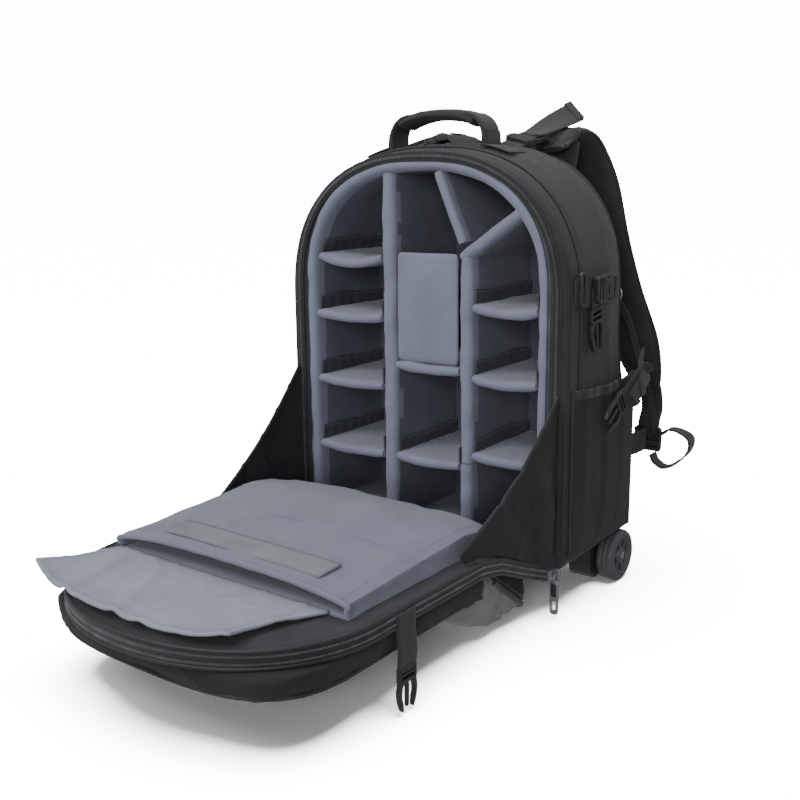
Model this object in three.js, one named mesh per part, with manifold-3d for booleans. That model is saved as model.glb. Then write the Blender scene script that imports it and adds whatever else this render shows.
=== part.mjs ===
// Rolling camera backpack, standing with its front door unzipped and folded down.
// Millimetres. +X is the wearer's left when worn, -Y the front, +Z up, floor at Z 0.
// The origin is the middle of the front foot's underside, below the front edge of the case.
import * as THREE from 'three';
import { mergeVertices } from 'three/addons/utils/BufferGeometryUtils.js';
import Module from 'manifold-3d';

const wasm = await Module();
wasm.setup();

// Clearances
const seat = 0.3;
const webbingWidth = 25;
const webbingThickness = 2;

// Case
const caseHalfWidth = 165;
const caseDepth = 147;
const caseBottom = 42;
const caseSpring = 285;
const caseTop = 431;
const caseWall = 6;
const caseBackWall = 20;
const caseCorner = 16;
const archPower = 2.4;
const lipDepth = 5;

// Padded insert
const insertHalfWidth = 145.2;
const insertSpring = 300;
const insertTop = 426;
const insertWall = 12;
const insertInnerDepth = 114;
const insertRimRound = 5;
const insertCorner = 14;

// Dividers and shelves of the insert
const dividerLeft = { x: -46, thickness: 16 };
const dividerRight = { x: 48, thickness: 13.6 };
const dividerRightSplit = 133;
const diagonalHigh = { x1: 22, z1: 420, x2: 52, z2: 345, thickness: 7.5 };
const diagonalLow = { x1: 47, z1: 331, x2: 132, z2: 388, thickness: 9.5 };
const dividerFront = 1;
const shelfThickness = 8.5;
const shelfTabHeight = 14;
const shelfTabThickness = 3;
const middlePad = { front: 1.5, thickness: 6, height: 108 };

// Door
const doorHalfWidth = 150;
const doorLength = 380;
const doorSpring = 255;
const doorPower = 2.1;
const doorPanelThickness = 14;
const doorHingeTop = 47.5;
const doorGap = 0.4;
const pocketHalfWidth = 146;
const pocketStart = 104;
const pocketEnd = 366;
const pocketSpring = 262;
const pocketPower = 3.2;
const pocketDepth = 27;
const kickHalfWidth = 150;
const kickEnd = 103;
const kickStart = 8.4;

// Laptop sleeve on the door
const sleeveHalfWidth = 132;
const sleeveMouth = 271;
const sleeveBack = 22;
const sleeveWall = 3;
const sleeveCrown = 8;
const flapReach = 101;
const flapThickness = 2.6;

// Side gussets
const gussetHeight = 212;
const gussetReach = 140;
const gussetThickness = 1.8;

// Side pockets
const sidePocket = { front: 8, back: 138, bottom: 56, top: 216, bulge: 9, wall: 2 };

// Carry handle
const handle = { half: 54, y: 45, rise: 27, width: 30, thickness: 12 };

// Wheels
const wheelRadius = 26.5;
const wheelWidth = 19;
const wheelY = 120.7;
const wheelOuterX = 170.6;
const axleRadius = 4;
const wellClearance = 4;

// Front foot
const foot = { half: 105, front: -8, back: 22, corner: 6 };

// Shoulder straps and back panel
const backPad = { half: 116, bottom: 70, top: 418, thickness: 13 };
const shoulderStrap = { spread: 152, standOff: 70, drop: 232, width: 58, thickness: 12 };

// Buckles
const buckle = { width: 32, length: 50, thickness: 10 };
const topBuckle = { x: 60, y: caseDepth - 43 };
const sideStrapHeight = 306;
const doorStrapY = -226;

const colours = {
  nylon: 0x26282b,
  insert: 0x6c7084,
  insertDark: 0x3c3f4a,
  flap: 0x858a99,
  coated: 0x55585c,
  plastic: 0x1f2123,
  rubber: 0x35393c,
  webbing: 0x232527,
  metal: 0xa7abb0,
};

const group = new THREE.Group();

function material(colour, roughness = 0.85, metalness = 0) {
  return new THREE.MeshStandardMaterial({ color: colour, roughness, metalness });
}

function add(name, geometry, colour, place = {}) {
  const mesh = new THREE.Mesh(geometry, material(colour, place.roughness, place.metalness));
  mesh.name = name;
  mesh.position.set(...(place.position ?? [0, 0, 0]));
  mesh.rotation.set(...(place.rotation ?? [0, 0, 0]));
  (place.parent ?? group).add(mesh);
  return mesh;
}

// Geometry helpers

function signedVolume(geometry) {
  const position = geometry.attributes.position;
  const index = geometry.index;
  const a = new THREE.Vector3();
  const b = new THREE.Vector3();
  const c = new THREE.Vector3();
  let volume = 0;
  for (let i = 0; i < index.count; i += 3) {
    a.fromBufferAttribute(position, index.getX(i));
    b.fromBufferAttribute(position, index.getX(i + 1));
    c.fromBufferAttribute(position, index.getX(i + 2));
    volume += a.dot(b.cross(c)) / 6;
  }
  return volume;
}

// One closed mesh with merged corners and its faces pointing out.
function closed(geometry) {
  const plain = geometry.clone();
  plain.deleteAttribute('normal');
  plain.deleteAttribute('uv');
  const merged = mergeVertices(plain, 1e-4);
  if (signedVolume(merged) < 0) {
    const index = merged.index;
    for (let i = 0; i < index.count; i += 3) {
      const first = index.getX(i);
      index.setX(i, index.getX(i + 1));
      index.setX(i + 1, first);
    }
  }
  merged.computeVertexNormals();
  return merged;
}

function fromFaces(points, faces) {
  const geometry = new THREE.BufferGeometry();
  geometry.setAttribute('position', new THREE.Float32BufferAttribute(points.flat(), 3));
  geometry.setIndex(faces.flat());
  return closed(geometry);
}

// Skins a row of equal rings of [x, y, z] points and closes both ends with a fan.
function loft(rings) {
  const count = rings[0].length;
  const faces = [];
  for (let r = 0; r + 1 < rings.length; r += 1) {
    for (let i = 0; i < count; i += 1) {
      const j = (i + 1) % count;
      const low = r * count;
      const high = low + count;
      faces.push([low + i, low + j, high + j], [low + i, high + j, high + i]);
    }
  }
  const last = (rings.length - 1) * count;
  for (let i = 1; i + 1 < count; i += 1) {
    faces.push([0, i + 1, i], [last, last + i, last + i + 1]);
  }
  return fromFaces(rings.flat(), faces);
}

// Gives a grid of points a thickness across its own surface.
function sheet(grid, thickness) {
  const rows = grid.length;
  const columns = grid[0].length;
  const at = (i, j) => new THREE.Vector3(...grid[Math.min(Math.max(i, 0), rows - 1)][
    Math.min(Math.max(j, 0), columns - 1)]);
  const points = [];
  for (const side of [0.5, -0.5]) {
    for (let i = 0; i < rows; i += 1) {
      for (let j = 0; j < columns; j += 1) {
        const along = at(i + 1, j).sub(at(i - 1, j));
        const across = at(i, j + 1).sub(at(i, j - 1));
        const normal = along.cross(across).normalize();
        points.push(at(i, j).addScaledVector(normal, side * thickness).toArray());
      }
    }
  }
  const faces = [];
  const back = rows * columns;
  const quad = (a, b, c, d) => faces.push([a, b, c], [a, c, d]);
  for (let i = 0; i + 1 < rows; i += 1) {
    for (let j = 0; j + 1 < columns; j += 1) {
      const a = i * columns + j;
      const b = a + 1;
      const c = a + columns + 1;
      const d = a + columns;
      quad(a, b, c, d);
      quad(back + d, back + c, back + b, back + a);
    }
  }
  for (let i = 0; i + 1 < rows; i += 1) {
    const first = i * columns;
    const lastColumn = first + columns - 1;
    quad(first, first + columns, back + first + columns, back + first);
    quad(lastColumn + columns, lastColumn, back + lastColumn, back + lastColumn + columns);
  }
  for (let j = 0; j + 1 < columns; j += 1) {
    const lastRow = (rows - 1) * columns + j;
    quad(j + 1, j, back + j, back + j + 1);
    quad(lastRow, lastRow + 1, back + lastRow + 1, back + lastRow);
  }
  return fromFaces(points, faces);
}

// Extrudes an outline of [a, b] points and sends each [a, b, depth] point to its place.
function extrude(outline, depth, toPlace, holes = []) {
  const shape = new THREE.Shape(outline.map(([a, b]) => new THREE.Vector2(a, b)));
  for (const hole of holes) shape.holes.push(new THREE.Path(hole.map(([a, b]) => new THREE.Vector2(a, b))));
  const geometry = new THREE.ExtrudeGeometry(shape, { depth, bevelEnabled: false, steps: 1 });
  const position = geometry.attributes.position;
  for (let i = 0; i < position.count; i += 1) {
    position.setXYZ(i, ...toPlace(position.getX(i), position.getY(i), position.getZ(i)));
  }
  return closed(geometry);
}

const alongY = (start) => (a, b, depth) => [a, start + depth, b];
const alongZ = (start) => (a, b, depth) => [a, b, start + depth];

function toSolid(geometry) {
  const mesh = closed(geometry);
  return new wasm.Manifold(new wasm.Mesh({
    numProp: 3,
    vertProperties: new Float32Array(mesh.attributes.position.array),
    triVerts: new Uint32Array(mesh.index.array),
  }));
}

function fromSolid(solid) {
  const { vertProperties, triVerts } = solid.getMesh();
  const geometry = new THREE.BufferGeometry();
  geometry.setAttribute('position', new THREE.Float32BufferAttribute(vertProperties, 3));
  geometry.setIndex(new THREE.Uint32BufferAttribute(triVerts, 1));
  return closed(geometry);
}

// A right-hand piece, or its mirror image for the left.
const sided = (geometry, side) => (side > 0 ? geometry : closed(geometry.clone().scale(-1, 1, 1)));

const cut = (geometry, ...tools) => fromSolid(
  tools.reduce((solid, tool) => solid.subtract(toSolid(tool)), toSolid(geometry)));
const join = (first, ...others) => fromSolid(
  others.reduce((solid, other) => solid.add(toSolid(other)), toSolid(first)));
const common = (geometry, tool) => fromSolid(toSolid(geometry).intersect(toSolid(tool)));

const mix = (a, b, share) => a + (b - a) * share;
const clamp01 = (value) => Math.min(Math.max(value, 0), 1);
const smooth = (value) => clamp01(value) ** 2 * (3 - 2 * clamp01(value));

// Reads a value between the rows of a table, by a named column.
function lookup(rows, key, value, column) {
  const next = rows.findIndex((row) => row[key] >= value);
  if (next === 0) return rows[0][column];
  if (next < 0) return rows[rows.length - 1][column];
  const low = rows[next - 1];
  const high = rows[next];
  return mix(low[column], high[column], (value - low[key]) / (high[key] - low[key]));
}

const cosPower = (angle, power) => Math.sign(Math.cos(angle)) * Math.abs(Math.cos(angle)) ** (2 / power);
const sinPower = (angle, power) => Math.abs(Math.sin(angle)) ** (2 / power);

// The arch that the case, the insert and the opening share: rounded lower corners,
// straight sides and a full round top, as [x, z] points.
function arch({ half, bottom, spring, top, corner, steps = 22, power = archPower }) {
  const points = [];
  const cornerSteps = 3;
  for (let i = 0; i <= cornerSteps; i += 1) {
    const angle = (Math.PI / 2) * (i / cornerSteps);
    points.push([half - corner + corner * Math.sin(angle), bottom + corner - corner * Math.cos(angle)]);
  }
  points.push([half, mix(bottom, spring, 0.5)]);
  for (let i = 0; i <= steps; i += 1) {
    const angle = Math.PI * (i / steps);
    points.push([half * cosPower(angle, power), spring + (top - spring) * sinPower(angle, power)]);
  }
  points.push([-half, mix(bottom, spring, 0.5)]);
  for (let i = cornerSteps; i >= 0; i -= 1) {
    const angle = (Math.PI / 2) * (i / cornerSteps);
    points.push([-half + corner - corner * Math.sin(angle), bottom + corner - corner * Math.cos(angle)]);
  }
  return points;
}

const roundedBox = (halfA, halfB, corner) => {
  const points = [];
  for (const [signA, signB, start] of [[1, 1, 0], [-1, 1, 1], [-1, -1, 2], [1, -1, 3]]) {
    for (let i = 0; i <= 2; i += 1) {
      const angle = (Math.PI / 2) * (start + i / 2);
      points.push([signA * (halfA - corner) + corner * Math.cos(angle),
        signB * (halfB - corner) + corner * Math.sin(angle)]);
    }
  }
  return points;
};

// Case: full width low down, drawn in towards the back over its upper half.
// tuckLow and tuckHigh are shares of the half width, rise a share of the height.
const caseSections = [
  { depth: 0, tuckLow: 0.018, tuckHigh: 0.018, rise: -0.004, lift: 0.006 },
  { depth: 0.035, tuckLow: 0, tuckHigh: 0, rise: 0.004, lift: 0 },
  { depth: 0.3, tuckLow: 0, tuckHigh: 0, rise: 0.026, lift: 0 },
  { depth: 0.58, tuckLow: 0, tuckHigh: 0.006, rise: 0.03, lift: 0 },
  { depth: 0.865, tuckLow: 0.01, tuckHigh: 0.066, rise: 0.024, lift: 0 },
  { depth: 0.95, tuckLow: 0.035, tuckHigh: 0.125, rise: 0.01, lift: 0.02 },
  { depth: 1, tuckLow: 0.08, tuckHigh: 0.19, rise: -0.01, lift: 0.036 },
];
const tuckFrom = 0.24;
const tuckTo = 0.56;

function caseRing(share, inset) {
  const column = (name) => lookup(caseSections, 'depth', share, name);
  const height = caseTop - caseBottom;
  const outline = arch({
    half: caseHalfWidth - inset, bottom: caseBottom + inset, spring: caseSpring,
    top: caseTop - inset, corner: Math.max(caseCorner - inset, 4),
  });
  return outline.map(([x, z]) => {
    const up = (z - caseBottom) / height;
    const tuck = mix(column('tuckLow'), column('tuckHigh'), smooth((up - tuckFrom) / (tuckTo - tuckFrom)));
    const raised = z + height * (column('rise') * smooth(up) + column('lift') * (1 - smooth(up * 2)));
    return [x * (1 - tuck), share * caseDepth, raised];
  });
}

// Height of the case's top above a point of its plan.
function caseTopAt(x, y) {
  const ring = caseRing(y / caseDepth, 0).filter((point) => point[2] > caseSpring);
  const next = ring.findIndex((point) => point[0] <= x);
  const [high, low] = [ring[next - 1], ring[next]];
  return mix(low[2], high[2], (x - low[0]) / (high[0] - low[0]));
}

const insertOutline = (inset) => arch({
  half: insertHalfWidth - inset,
  bottom: caseBottom + caseWall + 2 * seat + inset,
  spring: insertSpring,
  top: insertTop - inset,
  corner: Math.max(insertCorner - inset, 2),
});

const wellTop = 2 * wheelRadius + wellClearance;
const wellInnerX = insertHalfWidth + 1.3;
const housingInnerX = wheelOuterX - wheelWidth - 25;
const wellFront = wheelY - wheelRadius - wellClearance - 6;

function caseShell() {
  const outer = loft(caseSections.map((row) => caseRing(row.depth, 0)));
  const cavityShares = [lipDepth / caseDepth, 0.3, 0.58, 1 - caseBackWall / caseDepth];
  const cavity = loft(cavityShares.map((share) => caseRing(share, caseWall)));
  const mouth = extrude(insertOutline(-seat), lipDepth + 4, alongY(-2));
  const wells = [-1, 1].map((side) => {
    const span = caseHalfWidth + 20 - wellInnerX;
    const outline = [
      [wellFront, 0], [wellFront, wellTop - 14], [wellFront + 14, wellTop],
      [caseDepth + 10, wellTop], [caseDepth + 10, 0],
    ];
    return extrude(outline, span, (a, b, depth) => [side * (wellInnerX + depth), a, b]);
  });
  return cut(outer, cavity, mouth, ...wells);
}

function insertTray() {
  const outerDepth = insertInnerDepth + insertWall;
  const front = -1.2;
  const ring = (inset, y) => insertOutline(inset).map(([x, z]) => [x, y, z]);
  const outer = loft([
    ring(insertRimRound, front), ring(insertRimRound * 0.3, front + insertRimRound * 0.3),
    ring(0, front + insertRimRound), ring(0, outerDepth),
  ]);
  const inner = loft([
    ring(insertWall - insertRimRound * 0.7, front - 1), ring(insertWall, front + insertRimRound),
    ring(insertWall, insertInnerDepth),
  ]);
  return cut(outer, inner);
}

// The room inside the insert, with the clearance that everything in it keeps.
const insertRoom = extrude(insertOutline(insertWall + seat), insertInnerDepth + 10 - seat, alongY(-10));

const box = (x1, x2, y1, y2, z1, z2) => extrude(
  [[x1, z1], [x2, z1], [x2, z2], [x1, z2]], y2 - y1, alongY(y1));

// A straight padded wall seen edge on from the front, from one end to the other.
function slab({ x1, z1, x2, z2, thickness }, grow = 0) {
  const length = Math.hypot(x2 - x1, z2 - z1);
  const [nx, nz] = [-(z2 - z1) / length, (x2 - x1) / length];
  const reach = thickness / 2 + grow;
  const [ex, ez] = [nz * grow, -nx * grow];
  return extrude([
    [x1 - ex + nx * reach, z1 - ez + nz * reach], [x2 + ex + nx * reach, z2 + ez + nz * reach],
    [x2 + ex - nx * reach, z2 + ez - nz * reach], [x1 - ex - nx * reach, z1 - ez - nz * reach],
  ], insertInnerDepth - dividerFront - seat + 2 * grow, alongY(dividerFront - grow));
}

// Columns between the dividers, each with its left and right wall.
const insertInnerHalf = insertHalfWidth - insertWall;
const columns = {
  left: { from: -insertInnerHalf, to: dividerLeft.x },
  middle: { from: dividerLeft.x + dividerLeft.thickness, to: dividerRight.x },
  right: { from: dividerRight.x + dividerRight.thickness, to: insertInnerHalf },
};

// Shelves: bottom is a height above the floor, sag the dip of the front edge.
// up is a share of the insert's top.
const shelves = [
  { name: 'shelf_left_1', column: 'left', up: 0.763, sag: 5, front: 3 },
  { name: 'shelf_left_2', column: 'left', up: 0.622, sag: 1.5, front: 1 },
  { name: 'shelf_left_3', column: 'left', up: 0.458, sag: 1, front: 1 },
  { name: 'shelf_left_4', column: 'left', up: 0.289, sag: 1, front: 1 },
  { name: 'shelf_middle_1', column: 'middle', up: 0.514, sag: 0.8, front: 1 },
  { name: 'shelf_middle_2', column: 'middle', up: 0.291, sag: 1, front: 1 },
  { name: 'shelf_right_1', column: 'right', up: 0.662, sag: 3, front: 1 },
  { name: 'shelf_right_2', column: 'right', up: 0.502, sag: 2.5, front: 1 },
  { name: 'shelf_right_3', column: 'right', up: 0.322, sag: 1, front: 1 },
];

// A shelf is a padded board whose ends turn up as tabs against the walls.
function shelf({ column, up, sag, front }) {
  const bottom = insertTop * up;
  const from = columns[column].from + seat;
  const to = columns[column].to - seat;
  const steps = 6;
  const dip = (share) => bottom - sag * Math.sin(Math.PI * share);
  const low = [];
  const high = [];
  for (let i = 0; i <= steps; i += 1) {
    const share = i / steps;
    low.push([mix(from, to, share), dip(share)]);
    high.push([mix(from + shelfTabThickness, to - shelfTabThickness, share), dip(share) + shelfThickness]);
  }
  const tabTop = bottom + shelfThickness + shelfTabHeight;
  const outline = [
    ...low, [to, tabTop], [to - shelfTabThickness, tabTop],
    ...high.reverse(), [from + shelfTabThickness, tabTop], [from, tabTop],
  ];
  return extrude(outline, insertInnerDepth - seat - front, alongY(front));
}

function middlePanel() {
  const { from, to } = columns.middle;
  const shelfUp = shelves.find((row) => row.name === 'shelf_middle_1').up;
  const low = insertTop * shelfUp + shelfThickness + seat;
  const inset = seat + shelfTabThickness + seat;
  const outline = roundedBox((to - from) / 2 - inset, middlePad.height / 2, 3)
    .map(([a, b]) => [a + (from + to) / 2, b + low + middlePad.height / 2]);
  return extrude(outline, middlePad.thickness, alongY(middlePad.front));
}

// Door heights, from the hinge out. reach is a share of the door's length and
// top a share of its height at rest, measured up from the hinge.
const doorRise = 40.5;
const doorProfile = [
  { reach: 0, top: 0 },
  { reach: 0.06, top: 0.22 },
  { reach: 0.14, top: 0.52 },
  { reach: 0.22, top: 0.84 },
  { reach: 0.3, top: 1 },
  { reach: 0.55, top: 1 },
  { reach: 1, top: 0.93 },
];
const doorTopAt = (y) => doorHingeTop + doorRise * lookup(doorProfile, 'reach', -y / doorLength, 'top');

// The rows of a piece on the door: its own, and those where the door's profile bends.
const doorRows = (...own) => [...own, ...doorProfile.map((row) => row.reach * doorLength)
  .filter((y) => y > Math.min(...own) + 1 && y < Math.max(...own) - 1)].sort((a, b) => a - b);

// Plan outline of a door layer, from the hinge round its far end, as [x, y] points.
function doorPlan({ half, start, spring, end, power, steps = 16 }) {
  const points = [];
  const sideRows = doorRows(start, spring).slice(0, -1);
  for (const y of sideRows) points.push([half, -y]);
  for (let i = 0; i <= steps; i += 1) {
    const angle = Math.PI * (i / steps);
    points.push([half * cosPower(angle, power), -(spring + (end - spring) * sinPower(angle, power))]);
  }
  for (const y of [...sideRows].reverse()) points.push([-half, -y]);
  return points;
}

// Stacks copies of a plan between two heights that follow the door's profile. The
// inner points keep the top and bottom on the profile across the whole door.
function doorLayer({ spring, ...size }, levels, topAt, bottomAt) {
  const plan = doorPlan({ spring, ...size });
  const rings = levels.map(({ level, inset }) => {
    const half = Math.max(...plan.map(([x]) => x));
    const far = Math.min(...plan.map(([, y]) => y));
    return plan.map(([x, y]) => {
      const px = x * (1 - inset / half);
      const py = y < -spring ? y + inset * (y + spring) / (far + spring) : y;
      return [px, py, mix(bottomAt(py), topAt(py), level)];
    });
  });
  const count = plan.length;
  const faces = [];
  for (let r = 0; r + 1 < rings.length; r += 1) {
    for (let i = 0; i < count; i += 1) {
      const j = (i + 1) % count;
      faces.push([r * count + i, r * count + j, (r + 1) * count + j]);
      faces.push([r * count + i, (r + 1) * count + j, (r + 1) * count + i]);
    }
  }
  // Left and right points pair up across the door, so each cap is a strip of quads.
  const last = (rings.length - 1) * count;
  for (let i = 0; i + 1 < count / 2; i += 1) {
    const other = count - 1 - i;
    if (other - 1 <= i + 1) {
      if (other > i + 1) {
        faces.push([i, other, i + 1]);
        faces.push([last + i, last + i + 1, last + other]);
      }
      continue;
    }
    faces.push([i, other, other - 1], [i, other - 1, i + 1]);
    faces.push([last + i, last + other - 1, last + other], [last + i, last + i + 1, last + other - 1]);
  }
  return fromFaces(rings.flat(), faces);
}

const softEdge = [
  { level: 0, inset: 5 },
  { level: 0.25, inset: 0.6 },
  { level: 0.75, inset: 0.6 },
  { level: 1, inset: 4 },
];

const doorPanel = () => doorLayer(
  { half: doorHalfWidth, start: doorGap, spring: doorSpring, end: doorLength, power: doorPower },
  softEdge, doorTopAt, (y) => doorTopAt(y) - doorPanelThickness);

const underDoor = (y) => doorTopAt(y) - doorPanelThickness - seat - 0.1;

const doorPocket = () => doorLayer(
  { half: pocketHalfWidth, start: pocketStart, spring: pocketSpring, end: pocketEnd, power: pocketPower },
  [
    { level: 0, inset: 2 },
    { level: 0.4, inset: 0 },
    { level: 0.8, inset: 3 },
    { level: 1, inset: 14 },
  ],
  underDoor,
  (y) => underDoor(y) - pocketDepth);

// Kick panel: the grey lower front of the bag, which folds under the door and meets the floor.
// at is a share of its depth from the hinge side, low a share of the height above the floor.
const kickSections = [
  { at: 0, low: 0.35, half: 0.86 },
  { at: 0.1, low: 0.06, half: 0.9 },
  { at: 0.22, low: 0, half: 0.93 },
  { at: 0.7, low: 0, half: 0.95 },
  { at: 0.85, low: 0.14, half: 0.97 },
  { at: 1, low: 0.6, half: 0.98 },
];

function kickPanel() {
  const own = kickSections.map(({ at }) => mix(kickStart, kickEnd, at));
  const rings = doorRows(...own).map((row) => {
    const at = (row - kickStart) / (kickEnd - kickStart);
    const low = lookup(kickSections, 'at', at, 'low');
    const half = lookup(kickSections, 'at', at, 'half');
    const y = -row;
    const top = underDoor(y);
    const bottom = top * low;
    const reach = kickHalfWidth * half;
    const width = [0.62, 0.9, 1, 0.98];
    const level = [0, 0.16, 0.6, 1];
    const right = width.map((share, i) => [reach * share, y, mix(bottom, top, level[i])]);
    const left = right.map(([x, , z]) => [-x, y, z]).reverse();
    return [...right, ...left];
  });
  return loft(rings);
}

// Sleeve heights: reach is a share of the way from the hinge side to the mouth.
const sleeveProfile = [
  { reach: 0, high: 12 },
  { reach: 0.08, high: 20 },
  { reach: 0.2, high: 24 },
  { reach: 0.4, high: 21.5 },
  { reach: 0.7, high: 17 },
  { reach: 1, high: 13.5 },
];

function sleeveRing(share, inset, beyond = 0) {
  const y = -mix(sleeveBack + inset, sleeveMouth, share) - beyond;
  const base = doorTopAt(y) + doorGap;
  const half = sleeveHalfWidth - inset * 1.4;
  const high = lookup(sleeveProfile, 'reach', share, 'high');
  const steps = 10;
  const points = [[half, y, base + inset], [half, y, base + high * 0.55]];
  for (let i = 0; i <= steps; i += 1) {
    const x = mix(half, -half, i / steps) * 0.985;
    const crown = sleeveCrown * (1 - Math.abs(x / half) ** 4);
    points.push([x, y, base + high + crown - inset]);
  }
  points.push([-half, y, base + high * 0.55], [-half, y, base + inset], [0, y, base + inset]);
  return points;
}

function laptopSleeve() {
  const own = sleeveProfile.map(({ reach }) => mix(sleeveBack, sleeveMouth, reach));
  const shares = doorRows(...own).map((row) => (row - sleeveBack) / (sleeveMouth - sleeveBack));
  const outer = loft(shares.map((share) => sleeveRing(share, 0)));
  const inner = loft([
    ...shares.map((share) => sleeveRing(share, sleeveWall)),
    sleeveRing(1, sleeveWall, 3),
  ]);
  return cut(outer, inner);
}

// The flap that closes the sleeve, thrown open over the end of the door. Its left
// corner is pulled out past the door's edge and its far edge waves a little.
const flapSections = [
  { out: 0, left: -1.03, right: 0.96, lift: 0 },
  { out: 0.25, left: -1.07, right: 0.93, lift: 2.4 },
  { out: 0.5, left: -1.09, right: 0.87, lift: 3.4 },
  { out: 0.72, left: -1.1, right: 0.8, lift: 3 },
  { out: 0.88, left: -1.04, right: 0.75, lift: 3 },
  { out: 1, left: -0.88, right: 0.66, lift: 4.5 },
];

function sleeveFlap() {
  const steps = 12;
  const start = -(sleeveMouth + 1.5 * seat);
  const rows = flapSections.map(({ out, left, right, lift }) => {
    const row = [];
    for (let i = 0; i <= steps; i += 1) {
      const share = i / steps;
      const x = sleeveHalfWidth * mix(left, right, share);
      const bow = 1 - 0.16 * Math.abs(2 * share - 1.1) ** 3;
      const y = start - flapReach * out * bow;
      const wave = 1.4 * Math.sin(share * 7 + 0.6) * out;
      const z = doorTopAt(Math.max(y, -doorLength)) + doorGap + flapThickness + lift + wave;
      row.push([x, y, z]);
    }
    return row;
  });
  return sheet(rows, flapThickness);
}

// Gusset: the cloth side that holds the open door, from the case's front edge to the door.
function gusset() {
  const x = insertHalfWidth + 10;
  const gap = gussetThickness / 2 + 2 * seat;
  const top = [x + 2, -gap - 0.2, gussetHeight];
  const far = [doorHalfWidth - 8, -gussetReach, doorTopAt(-gussetReach) + gap + 10];
  const steps = 12;
  const low = [];
  const free = [];
  for (let i = 0; i <= steps; i += 1) {
    const share = i / steps;
    if (share < 0.5) {
      const fall = share / 0.5;
      low.push([x, seat - gap, mix(gussetHeight - 14, doorHingeTop + 10, fall)]);
    } else {
      const out = (share - 0.5) / 0.5;
      const y = -mix(gap + 4, gussetReach - 6, out);
      low.push([mix(x, doorHalfWidth - 7, out), y, doorTopAt(y) + gap + 1.5]);
    }
    const sag = 9 * Math.sin(Math.PI * share);
    free.push([
      mix(top[0], far[0], share) + 2 * Math.sin(Math.PI * share),
      mix(top[1], far[1], share) + sag * 0.4,
      mix(top[2], far[2], share) - sag,
    ]);
  }
  const across = 5;
  const rows = [];
  for (let j = 0; j <= across; j += 1) {
    const share = j / across;
    rows.push(low.map((point, i) => {
      const puff = 5 * Math.sin(Math.PI * share) * Math.sin(Math.PI * clamp01(i / steps));
      return [
        mix(point[0], free[i][0], share) + puff,
        mix(point[1], free[i][1], share),
        mix(point[2], free[i][2], share),
      ];
    }));
  }
  return sheet(rows, gussetThickness);
}

// Open-topped pocket of thin cloth on each side. puff is a share of the bulge.
const pocketSections = [
  { up: 0, puff: 0.12 },
  { up: 0.12, puff: 0.62 },
  { up: 0.35, puff: 0.96 },
  { up: 0.65, puff: 1 },
  { up: 0.9, puff: 0.86 },
  { up: 1, puff: 0.8 },
];

function sidePocketWall() {
  const steps = 10;
  const inner = caseHalfWidth + seat + sidePocket.wall / 2;
  const rows = pocketSections.map(({ up, puff }) => {
    const row = [];
    for (let i = 0; i <= steps; i += 1) {
      const share = i / steps;
      const round = Math.sin(Math.PI * share) ** 0.55;
      row.push([
        inner + sidePocket.bulge * puff * round,
        mix(sidePocket.front, sidePocket.back, share),
        mix(sidePocket.bottom, sidePocket.top, up),
      ]);
    }
    return row;
  });
  return sheet(rows, sidePocket.wall);
}

// Sweeps a flat strap along a list of stations, each with its centre, width and
// thickness. across is the direction of its width.
function strap(stations, round = 0.3) {
  const centres = stations.map((row) => new THREE.Vector3(...row.at));
  const rings = stations.map((row, i) => {
    const before = centres[Math.max(i - 1, 0)];
    const after = centres[Math.min(i + 1, centres.length - 1)];
    const tangent = after.clone().sub(before).normalize();
    const across = new THREE.Vector3(...row.across);
    across.addScaledVector(tangent, -across.dot(tangent)).normalize();
    const out = tangent.clone().cross(across).normalize();
    const [half, deep] = [row.width / 2, row.thickness / 2];
    const outline = [
      [half, -deep * round], [half, deep * round], [half - deep * 0.6, deep], [-half + deep * 0.6, deep],
      [-half, deep * round], [-half, -deep * round], [-half + deep * 0.6, -deep], [half - deep * 0.6, -deep],
    ];
    return outline.map(([a, b]) => centres[i].clone()
      .addScaledVector(across, a).addScaledVector(out, b).toArray());
  });
  return loft(rings);
}

// Side-release buckle, lying flat with its length along the second axis. along and
// half are shares of its length and width.
const buckleOutline = [
  { along: 0, half: 0.4 },
  { along: 0.05, half: 0.5 },
  { along: 0.4, half: 0.5 },
  { along: 0.44, half: 0.36 },
  { along: 0.6, half: 0.36 },
  { along: 0.64, half: 0.5 },
  { along: 0.86, half: 0.46 },
  { along: 1, half: 0.38 },
];

function buckleBody(scale = 1) {
  const side = buckleOutline.map(({ along, half }) => [
    half * buckle.width * scale, (along - 0.5) * buckle.length * scale]);
  const outline = [...side, ...side.map(([a, b]) => [-a, b]).reverse()];
  return extrude(outline, buckle.thickness * scale, alongZ(-buckle.thickness * scale / 2));
}

// Male half of a buckle: a body with a middle tongue and two springy side prongs.
const prongOutline = [
  { along: 0, half: 0.44 },
  { along: 0.34, half: 0.44 },
  { along: 0.5, half: 0.5 },
  { along: 0.74, half: 0.5 },
  { along: 1, half: 0.3 },
  { along: 0.72, half: 0.24 },
  { along: 0.46, half: 0.2 },
  { along: 0.44, half: 0.08 },
  { along: 0.9, half: 0.05 },
];

function buckleProngs(scale = 1) {
  const side = prongOutline.map(({ along, half }) => [
    half * buckle.width * scale, (along - 0.5) * buckle.length * scale]);
  const outline = [...side, ...side.map(([a, b]) => [-a, b]).reverse()];
  return extrude(outline, buckle.thickness * scale * 0.7, alongZ(-buckle.thickness * scale * 0.35));
}

function ladderLock(width, length, thickness) {
  const slots = [-1, 1].map((side) => roundedBox(width / 2 - 4, length / 9, 1.2)
    .map(([a, b]) => [a, b + side * length * 0.22]).reverse());
  return extrude(roundedBox(width / 2, length / 2, 3), thickness, alongZ(-thickness / 2), slots);
}

// Build the case, its insert and what is in the insert
add('case_shell', caseShell(), colours.nylon);
add('padded_insert', insertTray(), colours.insert);

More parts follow.
